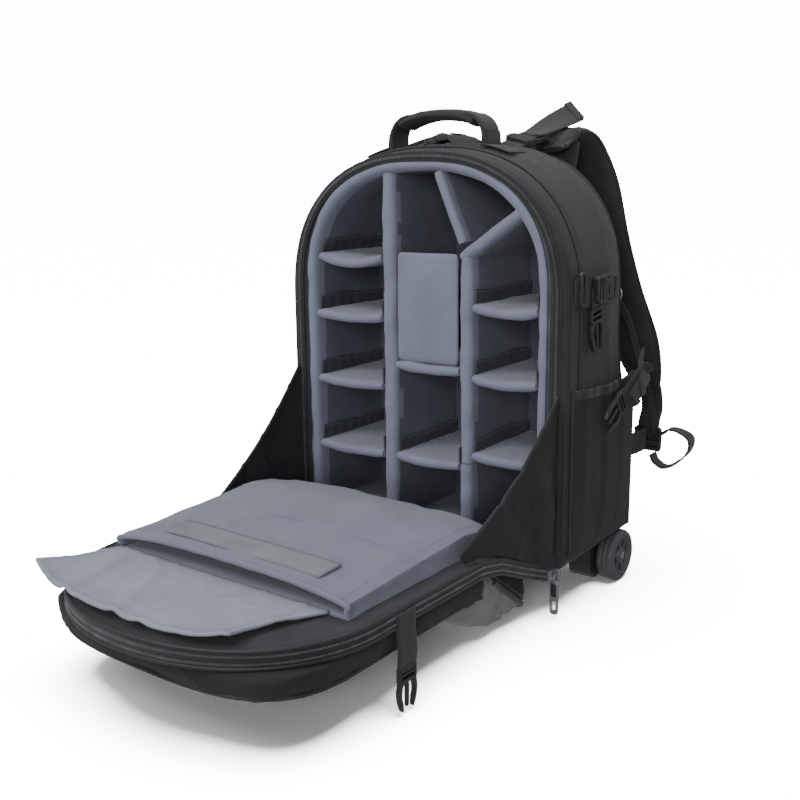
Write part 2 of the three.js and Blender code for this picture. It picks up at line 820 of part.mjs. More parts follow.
const upright = ({ x, thickness }, from, to) => box(
  x, x + thickness, dividerFront, insertInnerDepth - seat, from, to);

add('divider_left', common(upright(dividerLeft, caseBottom, insertTop), insertRoom), colours.insert);
const lowSlab = common(slab(diagonalLow), insertRoom);
const highSlab = cut(common(slab(diagonalHigh), insertRoom), slab(diagonalLow, seat));
const lowSlabRoom = box(-200, 200, -20, 200, 0, diagonalLow.z1 + 0.2);
const rightWall = cut(
  common(upright(dividerRight, dividerRightSplit + seat / 2, insertTop), insertRoom),
  slab(diagonalLow, seat));
add('divider_right', common(rightWall, lowSlabRoom), colours.insert);
add('divider_right_lower', common(
  upright(dividerRight, caseBottom, dividerRightSplit - seat / 2), insertRoom), colours.insert);
add('diagonal_divider_high', highSlab, colours.insert);
add('diagonal_divider_low', lowSlab, colours.insert);

for (const row of shelves) {
  const colour = row.name === 'shelf_middle_1' ? colours.insertDark : colours.insert;
  add(row.name, common(shelf(row), insertRoom), colour);
}
add('middle_pad', middlePanel(), colours.insert);

// Build the door and what is on it
add('door_panel', doorPanel(), colours.nylon);
add('door_pocket', doorPocket(), colours.nylon);
add('kick_panel', kickPanel(), colours.coated, { roughness: 0.6 });
add('laptop_sleeve', laptopSleeve(), colours.insert);
add('sleeve_flap', sleeveFlap(), colours.flap);

// Pieces that come in a left and a right copy
const sides = [
  { name: 'left', side: -1 },
  { name: 'right', side: 1 },
];

for (const { name, side } of sides) {
  add(`gusset_${name}`, sided(gusset(), side), colours.nylon);
  add(`side_pocket_${name}`, sided(sidePocketWall(), side), colours.nylon);
}

// The case's outside lifted by the clearance of what is sewn on top of it.
const caseRaised = loft(caseSections.map((row) => caseRing(row.depth, -seat)));

// Carry handle: a padded arch of webbing across the top of the case
function carryHandle() {
  const { half, y, rise, width, thickness } = handle;
  const crown = caseTop + 9 + rise;
  const corner = 22;
  const base = caseTopAt(half, y) - 4;
  const stations = [{ at: [-half, y, base], width: width * 0.85, thickness: thickness * 0.6 }];
  stations.push({ at: [-half, y, base + 12], width: width * 0.9, thickness: thickness * 0.85 });
  for (let i = 0; i <= 4; i += 1) {
    const angle = (Math.PI / 2) * (i / 4);
    stations.push({
      at: [-half + corner * (1 - Math.cos(angle)), y, crown - corner + corner * Math.sin(angle)],
      width, thickness,
    });
  }
  const mirrored = stations.map((row) => ({ ...row, at: [-row.at[0], row.at[1], row.at[2]] })).reverse();
  const grip = strap([...stations, ...mirrored].map((row) => ({ ...row, across: [0, 1, 0] })));
  return cut(grip, caseRaised);
}
add('carry_handle', carryHandle(), colours.webbing);

// Top buckles, lying on the slope of the case's top
const slopeSpan = 12;
const topSlope = Math.atan2(
  caseTopAt(topBuckle.x + slopeSpan, topBuckle.y) - caseTopAt(topBuckle.x - slopeSpan, topBuckle.y),
  2 * slopeSpan);
for (const { name, side } of sides) {
  const z = caseTopAt(topBuckle.x, topBuckle.y) + buckle.thickness / 2 + 1.4;
  add(`top_buckle_${name}`, buckleBody(0.86), colours.plastic, {
    position: [side * topBuckle.x, topBuckle.y, z], rotation: [0, -side * topSlope, 0], roughness: 0.5,
  });
}
const tailStart = caseTopAt(topBuckle.x, topBuckle.y) + 15.1;
add('buckle_tail', strap([
  { at: [topBuckle.x + 1, topBuckle.y + 6, tailStart], across: [1, 0, 0] },
  { at: [topBuckle.x + 1, topBuckle.y + 24, tailStart + 6], across: [1, 0, 0] },
  { at: [topBuckle.x + 3, topBuckle.y + 54, tailStart + 17], across: [1, 0, 0.15] },
  { at: [topBuckle.x + 6, topBuckle.y + 92, tailStart + 33], across: [1, 0, 0.3] },
].map((row) => ({ ...row, width: webbingWidth, thickness: webbingThickness })), 1), colours.webbing);

// Back panel
function backPanel() {
  const outline = arch({
    half: backPad.half, bottom: backPad.bottom, spring: backPad.top - 90, top: backPad.top, corner: 24, steps: 12,
  });
  const ring = (inset, y) => outline.map(([x, z]) => {
    const middle = (backPad.top + backPad.bottom) / 2;
    const height = (backPad.top - backPad.bottom) / 2;
    return [x * (1 - inset / backPad.half), y, middle + (z - middle) * (1 - inset / height)];
  });
  const start = caseDepth + seat;
  return loft([
    ring(2, start), ring(0, start + backPad.thickness * 0.4),
    ring(1.5, start + backPad.thickness * 0.8), ring(8, start + backPad.thickness),
  ]);
}
add('back_panel', backPanel(), colours.nylon);

// Shoulder straps: from the top of the back, out and down, to webbing at the lower corners.
// out, back and above are shares of the strap's spread, stand-off and drop.
const strapRoute = [
  { out: 0.408, back: -0.214, above: 0.065, width: 0.93, thick: 0.5 },
  { out: 0.408, back: 0.043, above: 0.103, width: 0.96, thick: 0.8 },
  { out: 0.428, back: 0.271, above: 0.134, width: 1, thick: 1 },
  { out: 0.467, back: 0.529, above: 0.099, width: 1, thick: 1 },
  { out: 0.52, back: 0.686, above: 0.013, width: 1, thick: 1 },
  { out: 0.585, back: 0.786, above: -0.116, width: 1, thick: 1 },
  { out: 0.651, back: 0.857, above: -0.336, width: 1, thick: 1 },
  { out: 0.75, back: 0.929, above: -0.573, width: 0.98, thick: 1 },
  { out: 0.882, back: 0.986, above: -0.789, width: 0.92, thick: 1 },
  { out: 0.947, back: 1, above: -0.918, width: 0.74, thick: 0.9 },
  { out: 1, back: 1, above: -1, width: 0.48, thick: 0.6 },
];
const adjuster = { x: 156, y: caseDepth + 60, z: 131, width: 30, height: 26, thickness: 7 };

const strapStations = strapRoute.map(({ out, back, above, width, thick }) => ({
  at: [
    out * shoulderStrap.spread,
    caseDepth + back * shoulderStrap.standOff,
    backPad.top + above * shoulderStrap.drop,
  ],
  across: [1, 0, 0.12],
  width: width * shoulderStrap.width,
  thickness: thick * shoulderStrap.thickness,
}));
const strapEnd = new THREE.Vector3(...strapStations[strapStations.length - 1].at);
const strapEndWay = strapEnd.clone().sub(new THREE.Vector3(...strapStations[strapStations.length - 2].at))
  .normalize();
const pastEnd = (distance) => strapEnd.clone().addScaledVector(strapEndWay, distance).toArray();

function lowerWebbing() {
  const top = adjuster.z + adjuster.height / 2 + seat;
  const flatStrip = { width: webbingWidth, thickness: webbingThickness };
  return strap([
    { at: pastEnd(seat + 0.1), across: [1, 0, 0.12], ...flatStrip },
    { at: pastEnd(6), across: [1, 0, 0.12], ...flatStrip },
    { at: [adjuster.x + 1, adjuster.y + 5, mix(top, strapEnd.z, 0.45)], across: [1, 0, 0.06], ...flatStrip },
    { at: [adjuster.x, adjuster.y, top + 5], across: [1, 0, 0], ...flatStrip },
    { at: [adjuster.x, adjuster.y, top], across: [1, 0, 0], ...flatStrip },
  ], 1);
}

// Spare webbing that stands out in an open loop from the adjuster. out and up are
// distances from the adjuster's middle.
const loopRoute = [
  { out: 16.2, up: 6 },
  { out: 24, up: 13 },
  { out: 37, up: 12 },
  { out: 48, up: 5 },
  { out: 46, up: -9 },
  { out: 34, up: -22 },
  { out: 21, up: -29 },
  { out: 10, up: -24 },
  { out: 6, up: -16 },
];
const looseWebbing = () => strap(loopRoute.map(({ out, up }) => ({
  at: [adjuster.x + out, adjuster.y, adjuster.z + up], across: [0, 1, 0],
  width: webbingWidth * 0.7, thickness: webbingThickness,
})), 1);

const adjusterBody = () => extrude(
  roundedBox(adjuster.width / 2, adjuster.height / 2, 4).map(([a, b]) => [a + adjuster.x, b + adjuster.z]),
  adjuster.thickness, alongY(adjuster.y - adjuster.thickness / 2));

function anchorWebbing() {
  const end = adjuster.y - adjuster.thickness / 2 - seat;
  const start = caseDepth + seat;
  return strap([
    [138, start, adjuster.z + 2],
    [138, start + 6, adjuster.z + 2],
    [150, mix(start, end, 0.6), adjuster.z - 2],
    [adjuster.x - 2, end - 5, adjuster.z],
    [adjuster.x - 2, end, adjuster.z],
  ].map((at) => ({ at, across: [0, 0, 1], width: webbingWidth, thickness: webbingThickness })), 1);
}

for (const { name, side } of sides) {
  const padded = cut(strap(strapStations), caseRaised);
  add(`shoulder_strap_${name}`, sided(padded, side), colours.nylon);
  add(`strap_webbing_${name}`, sided(lowerWebbing(), side), colours.webbing);
  add(`strap_adjuster_${name}`, sided(adjusterBody(), side), colours.plastic, { roughness: 0.5 });
  add(`webbing_loop_${name}`, sided(looseWebbing(), side), colours.webbing);
  add(`strap_anchor_${name}`, sided(anchorWebbing(), side), colours.webbing);
}

// Compression straps with a ladder lock, a buckle and its free half on each side
const flat = caseHalfWidth + seat;
for (const { name, side } of sides) {
  const hardware = new THREE.Group();
  group.add(hardware);
  const upright90 = [0, Math.PI / 2, 0];
  add(`side_strap_${name}`, box(-webbingThickness / 2, webbingThickness / 2, 10, 84,
    sideStrapHeight - webbingWidth / 2, sideStrapHeight + webbingWidth / 2), colours.webbing, {
    position: [side * (flat + webbingThickness / 2), 0, 0], parent: hardware,
  });
  add(`ladder_lock_${name}`, ladderLock(32, 16, 4), colours.plastic, {
    position: [side * (flat + webbingThickness + seat + 2), 20, sideStrapHeight + 2],
    rotation: upright90, parent: hardware, roughness: 0.5,
  });
  add(`side_buckle_${name}`, buckleBody(0.8), colours.plastic, {
    position: [side * (flat + webbingThickness + seat + 4), 58, sideStrapHeight],
    rotation: upright90, parent: hardware, roughness: 0.5,
  });
  add(`hanging_clip_${name}`, buckleProngs(0.8), colours.plastic, {
    position: [side * (flat + 3.4), 46, sideStrapHeight - webbingWidth / 2 - 24],
    rotation: [Math.PI / 2 + 0.15, Math.PI / 2, 0], parent: hardware, roughness: 0.5,
  });
}

// Straps that hang with half a buckle from the door's sides
for (const { name, side } of sides) {
  const x = side * (doorHalfWidth - 0.6 + seat + webbingThickness / 2);
  const top = doorTopAt(doorStrapY) - 4;
  add(`door_strap_${name}`, box(-webbingThickness / 2, webbingThickness / 2,
    -webbingWidth / 2, webbingWidth / 2, 40, top), colours.webbing, { position: [x, doorStrapY, 0] });
  add(`door_buckle_${name}`, buckleProngs(0.74), colours.plastic, {
    position: [x, doorStrapY, 40 - seat - buckle.length * 0.37],
    rotation: [-Math.PI / 2, Math.PI / 2, 0], roughness: 0.5,
  });
}

// Wheels on axles in their housings
function wheel() {
  const half = wheelWidth / 2;
  const bore = axleRadius + seat;
  const profile = [
    [bore, -half + 4], [wheelRadius * 0.62, -half + 3], [wheelRadius * 0.7, -half], [wheelRadius * 0.9, -half],
    [wheelRadius, -half + 4], [wheelRadius, half - 4], [wheelRadius * 0.9, half], [wheelRadius * 0.7, half],
    [wheelRadius * 0.62, half - 3], [bore, half - 4],
  ];
  const ring = [...profile, profile[0]].map(([r, a]) => new THREE.Vector2(r, a));
  return closed(new THREE.LatheGeometry(ring, 24).rotateZ(Math.PI / 2));
}

// Housing: a moulded block in the case's lower rear corner, with a rounded nose and the axle.
function wheelHousing(side) {
  const inner = housingInnerX;
  const cheek = wheelOuterX - wheelWidth - 1.2;
  const lower = [];
  const noseRadius = 13;
  const noseY = wellFront + noseRadius + 3;
  for (let i = 0; i <= 6; i += 1) {
    const angle = Math.PI + Math.PI * (i / 6);
    lower.push([noseY + noseRadius * Math.cos(angle), 18 + noseRadius * Math.sin(angle)]);
  }
  const top = wellTop - seat;
  const under = caseBottom - seat;
  const place = (from) => (a, b, depth) => [side * (from + depth), a, b];
  const block = extrude([
    ...lower, [wheelY + 8, 12], [wheelY + 16, 20], [caseDepth - 6, 30], [caseDepth - 6, under],
    [wellFront + seat, under],
  ], cheek - inner, place(inner));
  const plate = extrude([
    [wellFront + 1, under - 4], [caseDepth - 6, under - 4], [caseDepth - 6, top],
    [wellFront + 14.5, top], [wellFront + 1, top - 14.2],
  ], cheek - wellInnerX - seat, place(wellInnerX + seat));
  const circle = Array.from({ length: 16 }, (_, i) => [
    wheelY + axleRadius * Math.cos((i / 16) * 2 * Math.PI),
    wheelRadius + axleRadius * Math.sin((i / 16) * 2 * Math.PI),
  ]);
  const axle = extrude(circle, wheelOuterX - 5 - cheek + 4, place(cheek - 4));
  return join(block, plate, axle);
}

for (const { name, side } of sides) {
  add(`wheel_${name}`, wheel(), colours.rubber, {
    position: [side * (wheelOuterX - wheelWidth / 2), wheelY, wheelRadius], roughness: 0.6,
  });
  add(`wheel_housing_${name}`, wheelHousing(side), colours.plastic, { roughness: 0.5 });
}

// Front foot, whose flat underside is the origin's plane
const footOutline = roundedBox(foot.half, (foot.back - foot.front) / 2, foot.corner)
  .map(([a, b]) => [a, b + (foot.front + foot.back) / 2]);
const footTop = caseBottom - seat - 0.4;
add('front_foot', cut(
  extrude(footOutline, footTop, alongZ(0)),
  box(-200, 200, -60, seat, doorHingeTop - doorPanelThickness - seat, 80)), colours.plastic, { roughness: 0.6 });

// Zipper slider on the case's lower front corner, with the pull that hangs from it
const pull = { x: 161, width: 8.4, length: 34, thickness: 3, bottom: 5.5 };
function zipperPull() {
  const plate = extrude(
    roundedBox(pull.width / 2, pull.length / 2, 3)
      .map(([a, b]) => [a + pull.x, b + pull.bottom + pull.length / 2]),
    pull.thickness, alongY(-9.5));
  const slider = box(pull.x - 3, pull.x + 3, -9, -seat, pull.bottom + pull.length - 4,
    pull.bottom + pull.length + 10);
  return join(plate, slider);
}
add('zipper_pull', zipperPull(), colours.metal, { metalness: 0.5, roughness: 0.4 });

export default group;
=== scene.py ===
"""Looks of a rolling camera backpack that stands with its front door folded down.

Lengths are in millimetres until a mesh is made, and MM turns them into metres. +X is across
the bag, -Y points out of its open front, +Z is up and the floor is at 0.
"""

import math

import bmesh
import bpy
import numpy as np
from mathutils import Matrix, Vector


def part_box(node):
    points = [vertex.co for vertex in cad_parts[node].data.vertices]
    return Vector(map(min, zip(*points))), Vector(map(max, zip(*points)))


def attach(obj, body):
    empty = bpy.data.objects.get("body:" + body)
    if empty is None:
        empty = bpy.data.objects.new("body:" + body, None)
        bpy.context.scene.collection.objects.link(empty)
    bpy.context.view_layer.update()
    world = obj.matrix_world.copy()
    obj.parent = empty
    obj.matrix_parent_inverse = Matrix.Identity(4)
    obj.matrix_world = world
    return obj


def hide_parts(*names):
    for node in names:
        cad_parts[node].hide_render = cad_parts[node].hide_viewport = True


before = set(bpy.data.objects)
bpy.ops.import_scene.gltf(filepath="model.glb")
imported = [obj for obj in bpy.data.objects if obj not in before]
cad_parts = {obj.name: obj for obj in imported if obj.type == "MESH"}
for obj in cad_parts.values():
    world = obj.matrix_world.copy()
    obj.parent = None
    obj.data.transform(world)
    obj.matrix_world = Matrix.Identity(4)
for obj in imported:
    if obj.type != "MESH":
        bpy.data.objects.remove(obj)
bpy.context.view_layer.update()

MM = 0.001
SIDES = (("left", -1), ("right", 1))


def node_box(name):
    """Lowest and highest corner of a CAD node, in millimetres."""
    low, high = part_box(name)
    return np.array(low) / MM, np.array(high) / MM


# Case
CASE_LOW, CASE_HIGH = node_box("case_shell")
CASE_HALF = CASE_HIGH[0]
CASE_DEPTH = CASE_HIGH[1]
CASE_BOTTOM = CASE_LOW[2]
CASE_SPRING = 285
CASE_TOP = 431
CASE_CORNER = 16
ARCH_POWER = 2.4
SEAM_SHARE = 0.155
LIP_DEPTH = 9

# Padded insert
INSERT_LOW, INSERT_HIGH = node_box("padded_insert")
INSERT_HALF = INSERT_HIGH[0]
INSERT_SPRING = 300
INSERT_TOP = INSERT_HIGH[2]
INSERT_WALL = 12
INSERT_BOTTOM = INSERT_LOW[2]
INSERT_DEPTH = 114
INSERT_CORNER = 14
INSERT_INNER = INSERT_HALF - INSERT_WALL

# Door
DOOR_HALF = node_box("door_panel")[1][0] + 0.6
DOOR_LENGTH = 380
DOOR_SPRING = 255
DOOR_POWER = 2.1
DOOR_THICKNESS = 14
DOOR_HINGE_TOP = 47.5
DOOR_RISE = 40.5
POCKET_DEPTH = 27
SLEEVE_HALF = 132
SLEEVE_MOUTH = 271
SLEEVE_BACK = 22
SLEEVE_CROWN = 8

# Wheels
WHEEL_RADIUS = 26.5
WHEEL_WIDTH = 19
WHEEL_Y = 120.7
WHEEL_OUTER = node_box("wheel_right")[1][0]

# Webbing
WEBBING_WIDTH = 25


# Number helpers

def mix(a, b, share):
    """The value at a share of the way from a to b."""
    return a + (b - a) * share


def smooth(share):
    """Eases a share in and out between 0 and 1."""
    share = np.clip(share, 0, 1)
    return share * share * (3 - 2 * share)


def table(rows, key, column, at):
    """Smooth curve through a table of named columns."""
    xs = np.array([row[key] for row in rows], float)
    ys = np.array([row[column] for row in rows], float)
    slopes = np.gradient(ys, xs)
    at = np.clip(np.asarray(at, float), xs[0], xs[-1])
    i = np.clip(np.searchsorted(xs, at) - 1, 0, len(xs) - 2)
    width = xs[i + 1] - xs[i]
    t = (at - xs[i]) / width
    return ((2 * t**3 - 3 * t**2 + 1) * ys[i] + (t**3 - 2 * t**2 + t) * width * slopes[i]
            + (3 * t**2 - 2 * t**3) * ys[i + 1] + (t**3 - t**2) * width * slopes[i + 1])


def linear(rows, key, column, at):
    """Straight stretches between the rows of a table of named columns."""
    return np.interp(at, [row[key] for row in rows], [row[column] for row in rows])


def spline(points, count):
    """Catmull-Rom curve of count points through a list of points with any number of columns."""
    points = np.asarray(points, float)
    ends = np.vstack([2 * points[0] - points[1], points, 2 * points[-1] - points[-2]])
    at = np.linspace(0, len(points) - 1, count)
    i = np.minimum(at.astype(int), len(points) - 2)
    t = (at - i)[:, None]
    a, b, c, d = ends[i], ends[i + 1], ends[i + 2], ends[i + 3]
    return 0.5 * (2 * b + (c - a) * t + (2 * a - 5 * b + 4 * c - d) * t**2
                  + (3 * b - a - 3 * c + d) * t**3)


def unit(vectors):
    vectors = np.asarray(vectors, float)
    length = np.linalg.norm(vectors, axis=-1, keepdims=True)
    return vectors / np.maximum(length, 1e-9)


RIPPLE_WAVES = 9


def ripple(points, size, seed):
    """Smooth waves of about one size at each point, mostly between -1 and 1, the same each run."""
    points = np.asarray(points, float)
    random = np.random.default_rng(seed)
    total = np.zeros(points.shape[:-1])
    for _ in range(RIPPLE_WAVES):
        way = unit(random.normal(size=3)) * (2 * math.pi / size) * random.uniform(0.6, 1.5)
        total = total + np.sin(points @ way + random.uniform(0, 2 * math.pi))
    return total / math.sqrt(RIPPLE_WAVES) / 1.4


def creases(points, size, seed):
    """Narrow raised folds between calm stretches, from 0 to 1."""
    return np.clip(1 - np.abs(ripple(points, size, seed)) * 3, 0, 1) ** 2


# Finishes by name, which make_materials fills
FINISH = {}


# Mesh helpers

def link(mesh, name):
    obj = bpy.data.objects.new(name, mesh)
    bpy.context.scene.collection.objects.link(obj)
    return obj


def shade_smooth(mesh, crisp):
    """Smooth faces, with the edges that turn by more than crisp degrees kept hard."""
    mesh.polygons.foreach_set("use_smooth", [True] * len(mesh.polygons))
    mesh.set_sharp_from_angle(angle=math.radians(crisp))


def mesh_object(name, points, faces, uvs=None, crisp=50):
    """A mesh object from points in millimetres. uvs holds one pair for each face corner, in metres."""
    mesh = bpy.data.meshes.new(name)
    mesh.from_pydata((np.asarray(points, float) * MM).tolist(), [], faces)
    if uvs is not None:
        layer = mesh.uv_layers.new(name="UVMap")
        layer.data.foreach_set("uv", (np.asarray(uvs, float) * MM).ravel())
    mesh.update()
    shade_smooth(mesh, crisp)
    return link(mesh, name)


def steps_between(grid, axis):
    """Mean distance of each row or column of a grid from its first one."""
    lengths = np.linalg.norm(np.diff(grid, axis=axis), axis=-1).mean(axis=1 - axis)
    return np.concatenate([[0], np.cumsum(lengths)])


def skin(name, rows, around=False, caps=False, crisp=50):
    """Quads over a grid of points in millimetres, with a UV map that follows the surface."""
    rows = np.asarray(rows, float)
    count, width = rows.shape[:2]
    closed = np.concatenate([rows, rows[:, :1]], axis=1) if around else rows
    v, u = steps_between(closed, 0), steps_between(closed, 1)
    faces, uvs = [], []
    for i in range(count - 1):
        for j in range(width if around else width - 1):
            k = (j + 1) % width
            faces.append((i * width + j, i * width + k, (i + 1) * width + k, (i + 1) * width + j))
            uvs += [(u[j], v[i]), (u[j + 1], v[i]), (u[j + 1], v[i + 1]), (u[j], v[i + 1])]
    if caps:
        last = (count - 1) * width
        faces.append(tuple(reversed(range(width))))
        faces.append(tuple(range(last, last + width)))
        uvs += [(u[j], 0) for j in range(width)] * 2
    obj = mesh_object(name, rows.reshape(-1, 3), faces, uvs, crisp)
    if around and caps:
        face_out(obj)
    return obj


def face_out(obj):
    """Points a closed mesh's faces outwards."""
    mesh = bmesh.new()
    mesh.from_mesh(obj.data)
    bmesh.ops.remove_doubles(mesh, verts=mesh.verts, dist=1e-6)
    bmesh.ops.recalc_face_normals(mesh, faces=mesh.faces)
    if mesh.calc_volume(signed=True) < 0:
        bmesh.ops.reverse_faces(mesh, faces=mesh.faces)
    mesh.to_mesh(obj.data)
    mesh.free()


def close_ring(obj, start, count):
    """Closes a ring of count points, the first of which is point start, with one face."""
    mesh = bmesh.new()
    mesh.from_mesh(obj.data)
    mesh.verts.ensure_lookup_table()
    mesh.faces.new([mesh.verts[start + i] for i in range(count)])
    bmesh.ops.recalc_face_normals(mesh, faces=mesh.faces)
    mesh.to_mesh(obj.data)
    mesh.free()


def cloth_wall(name, grid, thickness):
    """Gives an open grid of points a thickness, half of it to each side."""
    obj = skin(name, grid)
    baked(obj, solid_wall(thickness, 0.0))
    face_out(obj)
    return obj


def frames_along(path, out=None, closed=False):
    """Tangent, side and out directions along a path. out is a wish for the third one."""
    path = np.asarray(path, float)
    if closed:
        tangent = unit(np.roll(path, -1, axis=0) - np.roll(path, 1, axis=0))
    else:
        tangent = unit(np.gradient(path, axis=0))
    if out is None:
        out = np.array([0.0, 0.0, 1.0])
    out = np.broadcast_to(np.asarray(out, float), path.shape)
    side = unit(np.cross(tangent, out))
    return tangent, side, unit(np.cross(side, tangent))


def tube(name, path, radius, out, sides=8, closed=False):
    """A round cord along a path, such as piping."""
    path = np.asarray(path, float)
    _, side, up = frames_along(path, out, closed)
    radius = np.broadcast_to(np.asarray(radius, float), (len(path),))
    angle = np.linspace(0, 2 * math.pi, sides, endpoint=False)
    rows = (path[:, None] + side[:, None] * (np.cos(angle)[None, :, None] * radius[:, None, None])
            + up[:, None] * (np.sin(angle)[None, :, None] * radius[:, None, None]))
    if closed:
        rows = np.concatenate([rows, rows[:1]])
    return skin(name, rows, around=True, caps=not closed, crisp=80)


def strap_directions(path, across):
    """Directions of a strap's width and of its face at each point of its path."""
    tangent = unit(np.gradient(path, axis=0))
    across = np.broadcast_to(np.asarray(across, float), path.shape)
    across = unit(across - tangent * np.sum(across * tangent, axis=1, keepdims=True))
    return across, unit(np.cross(tangent, across))


def band(name, path, across, width, thickness):
    """A flat strap along a path, with a rounded edge. across is the direction of its width."""
    edge = 0.45
    path = np.asarray(path, float)
    across, out = strap_directions(path, across)
    flat = np.linspace(-1, 1, 7)
    outline = [(a, 1.0) for a in flat * 0.93] + [(1.0, edge), (1.0, -edge)]
    outline += [(-a, -1.0) for a in flat * 0.93] + [(-1.0, -edge), (-1.0, edge)]
    shape = np.array(outline)
    rows = (path[:, None] + across[:, None] * shape[None, :, :1] * width / 2
            + out[:, None] * shape[None, :, 1:] * thickness / 2)
    return skin(name, rows, around=True, caps=True, crisp=60)


def baked(obj, *modifiers):
    """Applies modifiers, each a type and its settings, to an object's mesh."""
    for kind, settings in modifiers:
        modifier = obj.modifiers.new(kind, kind)
        for key, value in settings.items():
            setattr(modifier, key, value)
    evaluated = obj.evaluated_get(bpy.context.evaluated_depsgraph_get())
    mesh = bpy.data.meshes.new_from_object(evaluated)
    obj.modifiers.clear()
    old = obj.data
    obj.data = mesh
    bpy.data.meshes.remove(old)
    return obj


def solid_wall(thickness, offset=-1.0):
    """Gives a sheet its thickness, inwards unless offset says otherwise."""
    return "SOLIDIFY", {"thickness": thickness * MM, "offset": offset}


def bevelled(width, segments, angle):
    """Rounds the edges where faces meet at more than angle degrees."""
    return "BEVEL", {"width": width * MM, "segments": segments, "limit_method": "ANGLE",
                     "angle_limit": math.radians(angle)}


def cut_by(obj, cutters):
    """Cuts the shapes of other objects out of one and deletes them."""
    baked(obj, *[("BOOLEAN", {"operation": "DIFFERENCE", "object": cutter}) for cutter in cutters])
    for cutter in cutters:
        bpy.data.objects.remove(cutter)


def joined(name, objects):
    """Joins mesh objects into the first one and names it."""
    mesh = bmesh.new()
    keep_uv = mesh.loops.layers.uv.new("UVMap")
    for obj in objects:
        other = bmesh.new()
        other.from_mesh(obj.data)
        layer = other.loops.layers.uv.get("UVMap")
        made = [mesh.verts.new(v.co) for v in other.verts]
        other.verts.index_update()
        for face in other.faces:
            try:
                new = mesh.faces.new([made[v.index] for v in face.verts])
            except ValueError:
                continue
            if layer:
                for old_loop, new_loop in zip(face.loops, new.loops):
                    new_loop[keep_uv].uv = old_loop[layer].uv
        other.free()
        bpy.data.objects.remove(obj)
    data = bpy.data.meshes.new(name)
    mesh.to_mesh(data)
    mesh.free()
    shade_smooth(data, 50)
    return link(data, name)


def relief(obj, amount):
    """Moves each point along its normal by amount(points) millimetres."""
    mesh = obj.data
    count = len(mesh.vertices)
    points = np.zeros(count * 3)
    normals = np.zeros(count * 3)
    mesh.vertices.foreach_get("co", points)
    mesh.vertex_normals.foreach_get("vector", normals)
    points = points.reshape(-1, 3)
    moved = points + normals.reshape(-1, 3) * (amount(points / MM) * MM)[:, None]
    mesh.vertices.foreach_set("co", moved.ravel())
    mesh.update()
    return obj


def painted_shade_behind(obj, depth, material):
    """Paints shade into a piece: the faces that lie deeper in the bag than depth get a second, darker finish.
    """
    obj.data.materials.append(FINISH[material])
    for face in obj.data.polygons:
        if face.center.y / MM > depth:
            face.material_index = 1


def dress(obj, material, replaces=None, body="root"):
    """Gives a piece its finish and the body that it moves with."""
    obj.data.materials.clear()
    obj.data.materials.append(FINISH[material])
    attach(obj, body)
    if replaces:
        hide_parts(replaces)
    return obj


def piped(name, path, radius, out, material, slot="nylon", **shape):
    """A round piping, binding or ring along a path."""
    return dress(tube(name, path, radius, out, **shape), material)


# Camera, light and floor

CAMERA = {"x": 582.8, "y": -804.25, "z": 401.0, "azimuth": 36.985, "elevation": 11.956, "roll": -0.603}
SENSOR_WIDTH = 36.0
LENS = 45.683


def make_camera():
    data = bpy.data.cameras.new("camera")
    data.sensor_width = SENSOR_WIDTH
    data.lens = LENS
    data.clip_start = 0.05
    data.clip_end = 50
    camera = bpy.data.objects.new("camera", data)
    bpy.context.scene.collection.objects.link(camera)
    turn = (Matrix.Rotation(math.radians(CAMERA["azimuth"]), 4, "Z")
            @ Matrix.Rotation(math.pi / 2 - math.radians(CAMERA["elevation"]), 4, "X")
            @ Matrix.Rotation(math.radians(CAMERA["roll"]), 4, "Z"))
    place = Matrix.Translation(Vector((CAMERA["x"], CAMERA["y"], CAMERA["z"])) * MM)
    camera.matrix_world = place @ turn
    bpy.context.scene.camera = camera


LAMPS = (
    {"name": "key", "at": (-0.7, -1.7, 2.1), "size": 1.3, "watts": 36},
    {"name": "fill", "at": (1.1, -2.3, 0.75), "size": 1.2, "watts": 29},
    {"name": "top", "at": (0.1, 0.3, 2.6), "size": 1.6, "watts": 20},
    {"name": "rim", "at": (1.6, 1.7, 1.5), "size": 1.2, "watts": 7},
)
AIM = Vector((0.0, -0.05, 0.2))
ROOM_STRENGTH = 0.36
BACKDROP_STRENGTH = 14
FLOOR_LAMP = {"spread": 55, "strength": 60}


def make_lights():
    for row in LAMPS:
        data = bpy.data.lights.new(row["name"], "AREA")
        data.shape = "DISK"
        data.size = row["size"]
        data.energy = row["watts"]
        lamp = bpy.data.objects.new(row["name"], data)
        bpy.context.scene.collection.objects.link(lamp)
        place = Vector(row["at"])
        turn = (AIM - place).to_track_quat("-Z", "Y").to_matrix().to_4x4()
        lamp.matrix_world = Matrix.Translation(place) @ turn
    world = bpy.data.worlds.new("studio")
    world.use_nodes = True
    nodes, wires = world.node_tree.nodes, world.node_tree.links
    backdrop = nodes.new("ShaderNodeBackground")
    backdrop.inputs["Strength"].default_value = BACKDROP_STRENGTH
    nodes["Background"].inputs["Color"].default_value = (1, 1, 1, 1)
    nodes["Background"].inputs["Strength"].default_value = ROOM_STRENGTH
    seen = nodes.new("ShaderNodeLightPath")
    choice = nodes.new("ShaderNodeMixShader")
    backdrop.inputs["Color"].default_value = (1, 1, 1, 1)
    wires.new(seen.outputs["Is Camera Ray"], choice.inputs[0])
    wires.new(nodes["Background"].outputs[0], choice.inputs[1])
    wires.new(backdrop.outputs[0], choice.inputs[2])
    wires.new(choice.outputs[0], nodes["World Output"].inputs["Surface"])
    bpy.context.scene.world = world


